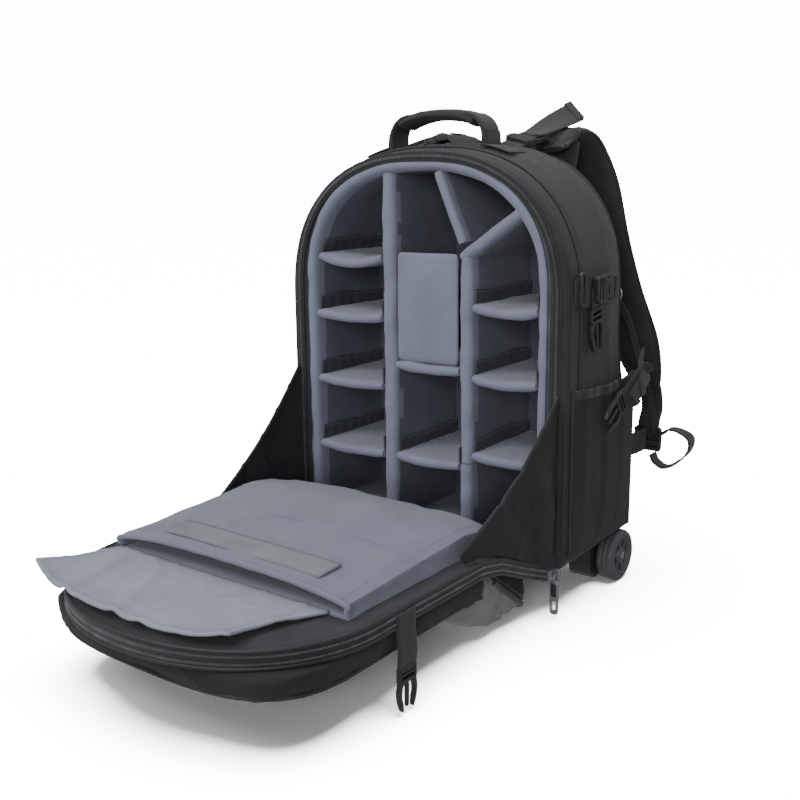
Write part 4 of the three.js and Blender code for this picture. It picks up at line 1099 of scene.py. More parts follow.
def make_shelf(row, seed):
    """A foam shelf with its two hook-and-loop tabs turned up against the walls."""
    low, high = COLUMNS[row["column"]]
    left = max(low, wall_x(row["bottom"] + 8, -1)) if row["column"] == "left" else low
    right = min(high, wall_x(row["bottom"] + 8, 1)) if row["column"] == "right" else high
    share = np.linspace(0, 1, 28)
    x = mix(left + 1.2, right - 1.2, share)
    z = row["bottom"] + SHELF_THICKNESS / 2 - row["sag"] * np.sin(math.pi * share)
    obj = board(row["name"] + "_pad", np.stack([x, z], axis=1), SHELF_THICKNESS, row["front"] - 1,
                INSERT_DEPTH - 0.5, seed, crown=0.3, wave=0.5, bow=row["bow"])
    dress(obj, "insert", row["name"])
    depth = np.linspace(row["front"] + 4, INSERT_DEPTH - 1, 90)
    up = np.linspace(0, 1, 9)
    tabs, ribs, ribs_out = [], [], []
    rising = row["bottom"] + SHELF_THICKNESS * 0.7 + up * TAB_HEIGHT
    left_edge = [max(left, wall_x(z, -1)) for z in rising] if row["column"] == "left" else left
    right_edge = [min(right, wall_x(z, 1)) for z in rising] if row["column"] == "right" else right
    for edge, way in ((left_edge, 1), (right_edge, -1)):
        edge = np.broadcast_to(np.asarray(edge, float), (9,))[:, None]
        gather = 0.75 * np.sin(depth[None, :] / 2.6) * np.sin(math.pi * up[:, None]) ** 0.5
        top = TAB_HEIGHT * (0.92 + 0.08 * np.sin(depth / 17 + seed))
        grid = np.stack([
            edge + way * (1.5 + gather + 0.6 * up[:, None]),
            np.broadcast_to(depth, (9, 90)),
            row["bottom"] + SHELF_THICKNESS * 0.7 + up[:, None] * (top - 1)[None, :],
        ], axis=2)
        tabs.append(cloth_wall("tab", grid, 1.5))
        for level in (0.14, 0.9):
            line = grid[int(level * 8)] + [way * 0.95, 0, 0]
            ribs.append(line)
            ribs_out.append((way, 0, 0))
    obj = joined(row["name"] + "_tabs", tabs)
    dress(obj, "tab")
    studs(row["name"] + "_tab_stitches", ribs, ribs_out, 3.4, (2.4, 0.5, 0.45), "thread_grey")


def make_middle_pad():
    """Upright pad that stands on the upper middle shelf."""
    low, high = COLUMNS["middle"]
    centre_x = (low + high) / 2
    half_x = (high - low) / 2 - 3.2
    shelf = next(row for row in SHELVES if row["name"] == "shelf_middle_1")
    bottom = shelf["bottom"] + SHELF_THICKNESS + 0.8
    half_z = 54
    obj = pillow("middle_pad_cover", (centre_x, 4.6, bottom + half_z), (1, 0, 0), (0, 0, 1), half_x,
                 half_z, 6.2, 61, power=22, crown=0.18)
    dress(obj, "insert", "middle_pad")


PILLOW_SECTION = ((0.02, 1.0), (0.2, 1.0), (0.4, 0.98), (0.6, 0.95), (0.78, 0.9), (0.9, 0.82),
                  (0.96, 0.66), (0.99, 0.4), (1.0, 0.0), (0.99, -0.4), (0.96, -0.66), (0.85, -0.8),
                  (0.5, -0.85), (0.02, -0.85))


def pillow(name, centre, across, up, half_a, half_b, thickness, seed, power, crown=0.35, wave=0.3):
    """A flat pad with rounded corners and a crowned face."""
    centre, across, up = (np.asarray(v, float) for v in (centre, across, up))
    out = np.cross(across, up)
    angle = np.linspace(0, 2 * math.pi, 144, endpoint=False)
    edge_a = np.sign(np.cos(angle)) * np.abs(np.cos(angle)) ** (2 / power)
    edge_b = np.sign(np.sin(angle)) * np.abs(np.sin(angle)) ** (2 / power)
    rows = []
    for share, height in PILLOW_SECTION:
        lift = height * thickness / 2 * (1 + crown * (1 - share**2) * (height > 0) - crown * 0.5)
        wide = across * (edge_a * half_a * share)[:, None]
        high = up * (edge_b * half_b * share)[:, None]
        rows.append(centre + wide + high + out * lift)
    obj = skin(name, rows, around=True, caps=True, crisp=80)
    relief(obj, lambda points: ripple(points, 38, seed) * wave + creases(points, 40, seed + 1) * wave)
    return obj


# Door

PANEL = {"half": DOOR_HALF, "start": 1.5, "spring": DOOR_SPRING, "end": DOOR_LENGTH, "power": DOOR_POWER}
POCKET = {"half": 146, "start": 104, "spring": 262, "end": 366, "power": 3.2}
UNDER_DOOR = -DOOR_THICKNESS - 0.4


def make_door():
    levels = ((-DOOR_THICKNESS, 9), (-DOOR_THICKNESS, 3), (-DOOR_THICKNESS + 1.2, 0.9),
              (-DOOR_THICKNESS + 3, 0.7), (-9.5, 1.8), (-7, 1.9), (-4.6, 1.6), (-2.2, 0.8), (-0.6, 1.6),
              (0, 3.6), (0.1, 8), (0.1, 16))
    obj = door_stack("door_cover", PANEL, levels)
    relief(obj, lambda points: ripple(points, 55, 71) * 0.6 + creases(points * [1, 1, 0.4], 60, 72) * 0.7)
    dress(obj, "nylon", "door_panel")
    for name, above, inset, radius in (("door_edge_binding", -0.6, 1.2, 1.7),
                                       ("door_lower_piping", -DOOR_THICKNESS + 0.6, 0.3, 1.6)):
        path = door_ring(PANEL, inset, above)
        piped(name, spline(path, 300), radius, (0, 0, 1), "piping")
    for name, above, inset in (("door_zipper_upper", -4.6, 0.5), ("door_zipper_lower", -10.2, 0.5)):
        path = spline(door_ring(PANEL, inset, above), 360)
        dress(band(name + "_tape", path, (0, 0, 1), 5.4, 0.9), "binding")
        tangent = frames_along(path)[0]
        out = unit(np.cross(tangent, [0, 0, 1]))
        out = out * np.sign(np.sum(out[:, :2] * (path[:, :2] - [0, -DOOR_LENGTH / 2]), axis=1, keepdims=True))
        studs(name + "_teeth", [path + out * 0.9], [out], 1.5, (0.9, 3.2, 1.5), "teeth")


def make_door_pocket():
    """Soft pocket under the door, with a piped corner seam and sagging faces."""
    levels = [(UNDER_DOOR - 0.2, 3.0), (UNDER_DOOR - 2.5, 0.4), (UNDER_DOOR - 6, -0.4),
              (UNDER_DOOR - 10, 0.0), (UNDER_DOOR - 14, 0.9), (UNDER_DOOR - 18, 2.4),
              (UNDER_DOOR - 21.5, 4.6), (UNDER_DOOR - 24.6, 8.2), (UNDER_DOOR - 26.4, 13.0),
              (UNDER_DOOR - POCKET_DEPTH, 20), (UNDER_DOOR - POCKET_DEPTH, 34)]
    obj = door_stack("door_pocket_cover", POCKET, levels)
    baked(obj, ("SUBSURF", {"levels": 1, "render_levels": 1}))

    def folds(points):
        side = smooth((door_top(points[:, 1]) + UNDER_DOOR - points[:, 2]) / 6)
        waves = ripple(points * [1, 1, 1.4], 60, 81) * 1.2
        return (waves + creases(points * [0.6, 0.6, 1.3], 48, 82) * 1.5) * side
    relief(obj, folds)
    dress(obj, "side_nylon", "door_pocket")
    path = spline(door_ring(POCKET, 4.4, UNDER_DOOR - 21.5), 260)
    piped("door_pocket_piping", path, 1.5, (0, 0, 1), "piping")


KICK_SECTIONS = (
    {"at": 0, "low": 0.35, "half": 0.86},
    {"at": 0.1, "low": 0.06, "half": 0.9},
    {"at": 0.22, "low": 0.005, "half": 0.93},
    {"at": 0.7, "low": 0.005, "half": 0.95},
    {"at": 0.85, "low": 0.14, "half": 0.97},
    {"at": 1, "low": 0.6, "half": 0.98},
)
KICK_START = 8.4
KICK_END = 103
KICK_HALF = 150
KICK_SIDE = (
    {"level": 0, "width": 0.62},
    {"level": 0.05, "width": 0.78},
    {"level": 0.16, "width": 0.9},
    {"level": 0.35, "width": 0.975},
    {"level": 0.6, "width": 1},
    {"level": 0.85, "width": 0.992},
    {"level": 1, "width": 0.975},
)
KICK_FOLDS = (
    {"name": "kick_fold_zipper", "high": 54, "low": 10, "radius": 2.8, "material": "binding"},
    {"name": "kick_fold_piping", "high": 60, "low": 17, "radius": 1.5, "material": "piping"},
)


def kick_section(y, at):
    """Top, bottom and half width of the kick panel at a place along it."""
    top = float(door_top(y)) + UNDER_DOOR
    bottom = top * float(linear(KICK_SECTIONS, "at", "low", at))
    return top, bottom, KICK_HALF * float(linear(KICK_SECTIONS, "at", "half", at))


def fold_height(row, y):
    """Height of a fold line on the kick panel's side. It falls towards the hinge."""
    return mix(row["high"], row["low"], (y + 80) / 62)


def make_kick_panel():
    """Grey coated cloth that bulges under the hinge of the door, with a dark zipped fold across it."""
    rows = []
    for at in np.linspace(0, 1, 34):
        y = -mix(KICK_START, KICK_END, at)
        top, bottom, reach = kick_section(y, at)
        levels = np.linspace(0, 1, 20)
        width = linear(KICK_SIDE, "level", "width", levels)
        right = [(reach * w, y, mix(bottom, top, level)) for level, w in zip(levels, width)]
        across = np.linspace(0.9, 0, 9)
        low_row = [(right[0][0] * a, y, right[0][2]) for a in np.linspace(0, 0.92, 9)]
        high_row = [(right[-1][0] * a, y, right[-1][2]) for a in across[1:]]
        half = low_row + right + high_row
        rows.append(half + [(-x, py, z) for x, py, z in half[-2:0:-1]])
    obj = skin("kick_panel_cover", rows, around=True, caps=True, crisp=70)

    def folds(points):
        side = smooth((np.abs(points[:, 0]) - 110) / 18)
        waves = ripple(points, 38, 91) * 1.3 + creases(points * [0.8, 1.2, 1.0], 34, 92) * 2.2
        return waves * side * smooth(points[:, 2] / 12) - 0.8
    relief(obj, folds)
    dress(obj, "coated", "kick_panel")
    obj.data.materials.append(FINISH["side_nylon"])
    for face in obj.data.polygons:
        middle = face.center / MM
        if middle.z > fold_height(KICK_FOLDS[0], middle.y) and middle.y > -92:
            face.material_index = 1
    for row in KICK_FOLDS:
        path = []
        for y in np.linspace(-90, -20, 50):
            top, bottom, reach = kick_section(y, (-y - KICK_START) / (KICK_END - KICK_START))
            level = np.clip((fold_height(row, y) - bottom) / (top - bottom), 0, 0.97)
            width = float(linear(KICK_SIDE, "level", "width", level))
            path.append((reach * width + 0.4, y, mix(bottom, top, level)))
        path = np.array(path)
        parts = [tube("part", path * [side, 1, 1], row["radius"], (1, 0, 0)) for side in (1, -1)]
        dress(joined(row["name"], parts), row["material"])


SLEEVE_PROFILE = (
    {"reach": 0, "high": 10},
    {"reach": 0.04, "high": 16.5},
    {"reach": 0.1, "high": 21},
    {"reach": 0.2, "high": 24},
    {"reach": 0.4, "high": 21.5},
    {"reach": 0.7, "high": 17},
    {"reach": 1, "high": 13.5},
)
CHANNEL = {"x1": -66, "y1": -174.8, "x2": 131, "y2": -176.5}
HOOK_STRIP = {"left": -88, "right": 92, "near": -229, "far": -256}
SLEEVE_WALL = 3.4


def sleeve_height(x, share):
    high = table(SLEEVE_PROFILE, "reach", "high", share)
    return high + SLEEVE_CROWN * (1 - np.abs(x / SLEEVE_HALF) ** 3)


def sleeve_top(x, y):
    share = (-y - SLEEVE_BACK) / (SLEEVE_MOUTH - SLEEVE_BACK)
    return door_top(y) + 0.4 + sleeve_height(np.asarray(x, float), np.asarray(share, float))


def sleeve_section(share):
    """One closed section of the sleeve, from its right lower edge over the top and back below."""
    y = -mix(SLEEVE_BACK, SLEEVE_MOUTH, share)
    base = float(door_top(y)) + 0.5
    high = float(table(SLEEVE_PROFILE, "reach", "high", share))
    side = np.linspace(0, 1, 8)
    flat = np.linspace(1, -1, 61)
    right = [(SLEEVE_HALF - 1.2 * math.sin(math.pi * s), y, base + high * s * 0.9) for s in side[:-1]]
    top = [(SLEEVE_HALF * f * 0.995, y,
            base + high * (1 - 0.1 * abs(f) ** 24) + SLEEVE_CROWN * (1 - abs(f) ** 3))
           for f in flat]
    left = [(-x, py, z) for x, py, z in right[::-1]]
    bottom = [(SLEEVE_HALF * f, y, base) for f in np.linspace(-0.95, 0.95, 13)]
    return right + top + left + bottom


def make_sleeve():
    """Padded sleeve on the door: open towards its end, with one sewn channel and a hook strip."""
    shares = np.concatenate([np.linspace(0, 0.12, 7)[:-1], np.linspace(0.12, 1, 56)])
    rows = np.array([sleeve_section(share) for share in shares])
    obj = skin("sleeve_cover", rows, around=True, crisp=60)
    close_ring(obj, 0, rows.shape[1])

    def quilt(points):
        x, y, z = points[:, 0], points[:, 1], points[:, 2]
        top = smooth((z - door_top(y) - 9) / 4)
        line = mix(CHANNEL["y1"], CHANNEL["y2"], (x - CHANNEL["x1"]) / (CHANNEL["x2"] - CHANNEL["x1"]))
        line = line - 5 * np.sin((x - CHANNEL["x1"]) / 60)
        channel = -2.2 * np.exp(-((y - line) / 2.6) ** 2) * smooth((x - CHANNEL["x1"]) / 12)
        seam = -0.9 * np.exp(-((SLEEVE_HALF - 6 - np.abs(x)) / 1.6) ** 2)
        soft = ripple(points, 70, 101) * 1.2 + creases(points * [1, 0.7, 1], 62, 102) * 1.0
        return (channel + seam + soft) * top + ripple(points, 30, 103) * 0.4 * (1 - top)
    relief(obj, quilt)
    baked(obj, solid_wall(SLEEVE_WALL), bevelled(1.2, 2, 60))
    face_out(obj)
    shade_smooth(obj.data, 60)
    dress(obj, "sleeve", "laptop_sleeve")
    x = np.linspace(HOOK_STRIP["left"], HOOK_STRIP["right"], 60)
    y = np.linspace(HOOK_STRIP["near"], HOOK_STRIP["far"], 9)
    grid = np.array([[(px, py - 4 * math.sin((px - HOOK_STRIP["left"]) / 70), 0) for px in x] for py in y])
    grid[:, :, 2] = sleeve_top(grid[:, :, 0], grid[:, :, 1]) + 1.1
    strip = cloth_wall("sleeve_hook_strip", grid, 1.3)
    dress(strip, "hook")
    edge = np.concatenate([grid[0, 1:-1], grid[1:-1, -1], grid[-1, 1:-1][::-1], grid[1:-1, 0][::-1],
                           grid[0, 1:2]])
    inner = edge * 0.985 + edge.mean(axis=0) * 0.015 + [0, 0, 1.0]
    middle = grid[4, 2:-2] + [0, 0, 1.0]
    studs("hook_strip_stitches", [inner, middle], [(0, 0, 1), (0, 0, 1)], 3.3, (2.4, 0.55, 0.5),
          "thread_grey")
    mouth = np.array(sleeve_section(1.0))
    lip = mouth[4:4 + 61 + 6]
    obj = tube("sleeve_mouth_binding", spline(lip + [0, -0.4, -1.4], 160), 2.3, (0, -1, 0), sides=10)
    relief(obj, lambda points: ripple(points, 30, 105) * 0.3)
    dress(obj, "sleeve")
    seams, outs = [], []
    for share_side in (-1, 1):
        line = np.array([(share_side * (SLEEVE_HALF - 9), -v, 0) for v in np.linspace(40, 266, 120)])
        line[:, 2] = sleeve_top(line[:, 0], line[:, 1]) + 0.6
        seams.append(line)
        outs.append((0, 0, 1))
    studs("sleeve_stitches", seams, outs, 4.0, (2.8, 0.55, 0.5), "thread_grey")


FLAP_SECTIONS = (
    {"out": 0, "left": -0.98, "right": 0.86, "lift": 0},
    {"out": 0.25, "left": -1.0, "right": 0.79, "lift": 1.2},
    {"out": 0.5, "left": -1.02, "right": 0.72, "lift": 2.6},
    {"out": 0.72, "left": -1.04, "right": 0.69, "lift": 3.4},
    {"out": 0.9, "left": -1.06, "right": 0.7, "lift": 4.6},
    {"out": 1, "left": -1.06, "right": 0.715, "lift": 6.0},
)
FLAP_REACH = 101
FLAP_THICKNESS = 2.4


def make_flap():
    """Lining flap of the sleeve, thrown open over the end of the door, with lifted corners and folds."""
    columns, count = 72, 34
    start = -(SLEEVE_MOUTH + 0.6)
    grid = np.zeros((count, columns, 3))
    for i, out in enumerate(np.linspace(0, 1, count)):
        left, right, lift = (float(table(FLAP_SECTIONS, "out", key, out))
                             for key in ("left", "right", "lift"))
        share = np.linspace(0, 1, columns)
        x = SLEEVE_HALF * mix(left, right, share)
        bow = 1 - 0.2 * np.abs(2 * share - 1.05) ** 2.4
        y = start - FLAP_REACH * out * bow
        fold = 1.2 * np.sin(share * 9 + out * 3 + 0.4) * out
        for line, slant, high in ((-104, 30, 3.4), (-62, 52, 2.6), (52, -34, 2.2)):
            fold = fold + high * np.exp(-((x - line - slant * out) / 6.5) ** 2) * smooth((out - 0.08) / 0.3)
        wave = 1.4 * np.sin(share * 7 + 0.6) * out
        corner = (5.0 * smooth((0.2 - share) / 0.2) * smooth((out - 0.5) / 0.5)
                  + 2.5 * smooth((share - 0.86) / 0.14) * smooth((out - 0.6) / 0.4))
        z = door_top(np.maximum(y, -DOOR_LENGTH)) + 3.0 + lift + wave + fold + corner
        grid[i] = np.stack([x, y, z], axis=1)
    grid[:, :, 2] += creases(grid, 44, 111) * 1.0
    obj = cloth_wall("flap_lining", grid, FLAP_THICKNESS)
    dress(obj, "flap", "sleeve_flap")
    border = np.concatenate([grid[2:-2, 2], grid[-3, 2:-2], grid[2:-2, -3][::-1]]) + [0, 0, 1.5]
    studs("flap_stitches", [border], [(0, 0, 1)], 3.6, (2.6, 0.5, 0.5), "thread_grey")


# Gussets and side pockets

GUSSET_HEIGHT = 212
GUSSET_REACH = 140
GUSSET_THICKNESS = 1.8


def make_gusset(name, side, seed):
    """Thin cloth side between the case's front edge and the open door, slack with folds to its far corner."""
    x = INSERT_HALF + 10
    gap = 1.5
    top = np.array([x + 2, -gap - 0.2, GUSSET_HEIGHT])
    far = np.array([DOOR_HALF - 8, -GUSSET_REACH, float(door_top(-GUSSET_REACH)) + gap + 10])
    share = np.linspace(0, 1, 61)
    low, free = [], []
    for s in share:
        if s < 0.5:
            low.append((x, 0.3 - gap, mix(GUSSET_HEIGHT - 14, DOOR_HINGE_TOP + 10, s / 0.5)))
        else:
            out = (s - 0.5) / 0.5
            y = -mix(gap + 4, GUSSET_REACH - 6, out)
            low.append((mix(x, DOOR_HALF - 7, out), y, float(door_top(y)) + gap + 1.5))
        sag = 9 * math.sin(math.pi * s)
        free.append((mix(top[0], far[0], s) + 2 * math.sin(math.pi * s), mix(top[1], far[1], s) + sag * 0.4,
                     mix(top[2], far[2], s) - sag))
    low, free = np.array(low), np.array(free)
    grid = []
    for t in np.linspace(0, 1, 30):
        puff = 5 * math.sin(math.pi * t) * np.sin(math.pi * share)
        fan = 2.6 * np.sin(share * 17 + 1.4 * t + seed) * math.sin(math.pi * min(t * 1.05, 1)) ** 0.8
        row = mix(low, free, t)
        row[:, 0] += puff + fan * np.sin(math.pi * share)
        grid.append(row)
    grid = np.array(grid)
    grid[:, :, 0] += creases(grid, 52, seed + 1) * 2.0 * np.sin(math.pi * share)[None, :]
    grid[:, :, 0] *= side
    obj = cloth_wall(f"gusset_{name}_cloth", grid, GUSSET_THICKNESS)
    dress(obj, "side_nylon", f"gusset_{name}")
    edge = grid[-1]
    piped(f"gusset_{name}_binding", spline(edge, 90), 1.6, (1, 0, 0), "binding")


POCKET_SECTIONS = (
    {"up": 0, "puff": 0.12},
    {"up": 0.12, "puff": 0.62},
    {"up": 0.35, "puff": 0.96},
    {"up": 0.65, "puff": 1},
    {"up": 0.9, "puff": 0.86},
    {"up": 1, "puff": 0.8},
)
SIDE_POCKET = {"front": 8, "back": 138, "bottom": 56, "top": 216, "bulge": 9, "wall": 2}


def make_side_pocket(name, side, seed):
    """Cloth pocket on the side, gathered by elastic at its mouth, with long upright folds."""
    inner = CASE_HALF + 0.3 + SIDE_POCKET["wall"] / 2
    share = np.linspace(0, 1, 70)
    grid = []
    for up in np.linspace(0, 1, 46):
        puff = float(table(POCKET_SECTIONS, "up", "puff", up))
        dome = np.sin(math.pi * share) ** 0.55
        pleats = (1.5 * np.sin(share * 21 + 0.8 * math.sin(up * 3) + seed)
                  + 0.8 * np.sin(share * 43 + seed * 2))
        pleats = pleats * (0.35 + 0.65 * up) * np.sin(math.pi * share) ** 0.5
        bag = 1.2 * math.sin(math.pi * up) ** 2 * dome
        y = mix(SIDE_POCKET["front"], SIDE_POCKET["back"], share)
        z = mix(SIDE_POCKET["bottom"], SIDE_POCKET["top"], up) - 2 * up * np.sin(math.pi * share)
        x = inner + (SIDE_POCKET["bulge"] - 1) * puff * dome + pleats * 0.8 + bag
        grid.append(np.stack([x, y, z], axis=1))
    grid = np.array(grid)
    grid[:, :, 0] = np.maximum(grid[:, :, 0], inner)
    grid[:, :, 0] += creases(grid * [1, 1, 0.5], 40, seed + 3) * 0.8 * np.sin(math.pi * share)[None, :]
    grid[:, :, 0] *= side
    obj = cloth_wall(f"side_pocket_{name}_cloth", grid, SIDE_POCKET["wall"])
    dress(obj, "side_nylon", f"side_pocket_{name}")
    hem = spline(grid[-1], 120)
    dress(band(f"side_pocket_{name}_elastic", hem + [side * 0.6, 0, -3.5], (0, 0, 1), 9, 3.2), "binding")
    lines = [spline(grid[-1], 120) + [side * 2.3, 0, -1.2], spline(grid[-1], 120) + [side * 2.3, 0, -6.2]]
    studs(f"side_pocket_{name}_stitches", lines, [(side, 0, 0)] * 2, 3.8, (2.6, 0.5, 0.5), "thread_dark")
    for end, column in (("front", 0), ("rear", -1)):
        seam = grid[:, column] + [side * 0.8, 0, 0]
        piped(f"side_pocket_{name}_{end}_seam", spline(seam, 60), 1.3, (side, 0, 0), "piping")


# Straps, buckles and other fittings

def placed(obj, matrix):
    """Bakes a placement, whose lengths are in millimetres, into an object's points."""
    matrix = Matrix(matrix)
    matrix.translation = matrix.translation * MM
    obj.data.transform(matrix)
    return obj


def turned_to(at, length_way, face_way):
    """Placement that lays local Y along length_way and local Z along face_way."""
    along = Vector(length_way).normalized()
    face = Vector(face_way)
    face = (face - along * face.dot(along)).normalized()
    side = along.cross(face)
    matrix = Matrix((side, along, face)).transposed().to_4x4()
    matrix.translation = Vector(at)
    return matrix


def plate(name, outline, thickness, bevel=0.8, holes=(), lift=0.0):
    """A moulded plate across Z with rounded edges. holes are closed outlines cut through it."""
    def prism(points, low, high):
        count = len(points)
        verts = [(x, y, low) for x, y in points] + [(x, y, high) for x, y in points]
        faces = [tuple(reversed(range(count))), tuple(range(count, 2 * count))]
        faces += [(i, (i + 1) % count, count + (i + 1) % count, count + i) for i in range(count)]
        made = mesh_object(name, verts, faces)
        face_out(made)
        return made
    obj = prism(outline, lift - thickness / 2, lift + thickness / 2)
    for hole in holes:
        cut_by(obj, [prism(hole, lift - thickness, lift + thickness)])
    baked(obj, bevelled(bevel, 3, 40))
    shade_smooth(obj.data, 45)
    return obj


def rounded(x1, x2, y1, y2, corner, steps=4):
    """Outline of a rectangle with round corners."""
    points = []
    corners = ((x2 - corner, y1 + corner, -90), (x2 - corner, y2 - corner, 0), (x1 + corner, y2 - corner, 90),
               (x1 + corner, y1 + corner, 180))
    for x, y, start in corners:
        for i in range(steps + 1):
            angle = math.radians(start + 90 * i / steps)
            points.append((x + corner * math.cos(angle), y + corner * math.sin(angle)))
    return points


BUCKLE_WIDTH = 32
BUCKLE_LENGTH = 50
BUCKLE_THICKNESS = 10


FREE_PRONG = ((0.24, 0.34), (0.44, 0.34), (0.47, 0.42), (0.5, 0.5), (0.5, 0.62), (0.485, 0.72),
              (0.43, 0.84), (0.34, 0.96), (0.3, 1.0), (0.25, 0.985), (0.245, 0.9), (0.27, 0.78),
              (0.33, 0.66), (0.33, 0.56), (0.29, 0.44), (0.22, 0.38))
WINDOW_PRONG = ((0.36, 0.4), (0.455, 0.4), (0.492, 0.47), (0.492, 0.57), (0.46, 0.66), (0.36, 0.66))
SHELL_RIGHT = ((0.4, 0), (0.49, 0.05), (0.5, 0.12), (0.5, 0.36), (0.485, 0.4), (0.4, 0.42), (0.36, 0.46),
               (0.34, 0.52), (0.345, 0.6), (0.4, 0.655))
BASE_RIGHT = ((0.46, 0.64), (0.465, 0.74), (0.455, 0.86), (0.42, 0.97), (0.38, 1.0))


def across_buckle(half, low, high, corner, scale):
    """Outline of a slot or a bar across a buckle. All but corner are shares of the buckle's size."""
    width, length = BUCKLE_WIDTH * scale, BUCKLE_LENGTH * scale
    return rounded(-half * width, half * width, low * length, high * length, corner * scale)


def buckle_outline(shares, scale, side=1):
    """Outline of a buckle's part from shares of the buckle's size, mirrored where side is -1."""
    width, length = BUCKLE_WIDTH * scale, BUCKLE_LENGTH * scale
    return [(side * half * width, (along - 0.5) * length) for half, along in shares][::side]


def both_halves(right):
    """Shares of a part that is the same left and right, from those of its right half."""
    left = [(-half, along) for half, along in right[::-1]]
    return [left[-1], *right, *left[:-1]]


def prong_parts(scale):
    """Free half of a side-release buckle: a slotted base, a middle tongue and two springy prongs."""
    thickness = BUCKLE_THICKNESS * scale * 0.62
    holes = [across_buckle(0.36, at - 0.5, at - 0.42, 1.0, scale) for at in (0.07, 0.2)]
    parts = [plate("part", across_buckle(0.44, -0.5, -0.14, 2.2, scale), thickness, 0.9 * scale, holes)]
    parts += [plate("part", buckle_outline(FREE_PRONG, scale, side), thickness * 0.84, 0.8 * scale)
              for side in (1, -1)]
    tongue = across_buckle(0.07, -0.16, 0.42, 1.2, scale)
    parts.append(plate("part", tongue, thickness * 0.6, 0.6 * scale))
    return parts


def socket_parts(scale):
    """Closed side-release buckle: the socket with its side windows, the prongs in it and the slotted base."""
    thickness = BUCKLE_THICKNESS * scale
    slots = [across_buckle(0.37, low, high, 1.2, scale) for low, high in ((-0.43, -0.34), (-0.28, -0.19))]
    shell = buckle_outline(both_halves(SHELL_RIGHT), scale)
    parts = [plate("part", shell, thickness * 0.94, 1.5 * scale, slots)]
    parts += [plate("part", buckle_outline(WINDOW_PRONG, scale, side), thickness * 0.55, 0.8 * scale)
              for side in (1, -1)]
    base = buckle_outline(both_halves(BASE_RIGHT), scale)
    slot = across_buckle(0.36, 0.36, 0.44, 1.0, scale)
    parts.append(plate("part", base, thickness * 0.66, 1.2 * scale, [slot]))
    ridge = across_buckle(0.2, 0.02, 0.1, 1.4, scale)
    parts.append(plate("part", ridge, thickness * 0.2, 0.4 * scale, lift=thickness * 0.47))
    return parts


def fitting(name, parts, matrix, replaces=None, material="plastic"):
    obj = joined(name, parts)
    placed(obj, matrix)
    return dress(obj, material, replaces)


def webbing(name, path, across, width, thickness, count, replaces=None):
    """A strip of webbing. across is one direction of its width or a list of them along it."""
    path = spline(path, count)
    if not np.isscalar(across[0]):
        across = spline(across, count)
    obj = band(name, path, across, width, thickness)
    return dress(obj, "webbing", replaces)


def box_stitch(name, centre, across, along, width, length, out):
    """Square of stitches with a cross in it, as where webbing is sewn down."""
    centre, across, along = np.asarray(centre, float), unit(across), unit(along)
    corner = [centre + across * a * width / 2 + along * b * length / 2
              for a, b in ((-1, -1), (1, -1), (1, 1), (-1, 1))]
    lines = [np.linspace(corner[i], corner[(i + 1) % 4], 12) for i in range(4)]
    lines += [np.linspace(corner[0], corner[2], 14), np.linspace(corner[1], corner[3], 14)]
    return studs(name, lines, [out] * len(lines), 2.6, (1.9, 0.5, 0.5), "thread_dark")


def padded_strap(name, path, across, width, thickness, seed, edge, wave):
    """A padded strap along a path. Its edges are pinched thin to edge millimetres, as where it is bound."""
    path = np.asarray(path, float)
    across, out = strap_directions(path, across)
    width = np.broadcast_to(np.asarray(width, float), (len(path),))
    thickness = np.broadcast_to(np.asarray(thickness, float), (len(path),))
    share = np.linspace(-1, 1, 21)
    full = (1 - np.abs(share) ** 6) ** 0.6
    rows = []
    for i in range(len(path)):
        deep = np.maximum(thickness[i] / 2 * full, edge / 2)
        upper = path[i] + across[i] * (share * width[i] / 2)[:, None] + out[i] * deep[:, None]
        lower = path[i] + across[i] * (share * width[i] / 2)[:, None] - out[i] * deep[:, None]
        rows.append(np.concatenate([upper, lower[::-1]]))
    obj = skin(name, np.array(rows), around=True, caps=True, crisp=75)
    relief(obj, lambda points: ripple(points, 40, seed) * wave + creases(points, 34, seed + 1) * wave)
    return obj


HANDLE_HALF = 54
HANDLE_Y = 45
HANDLE_CROWN = 466


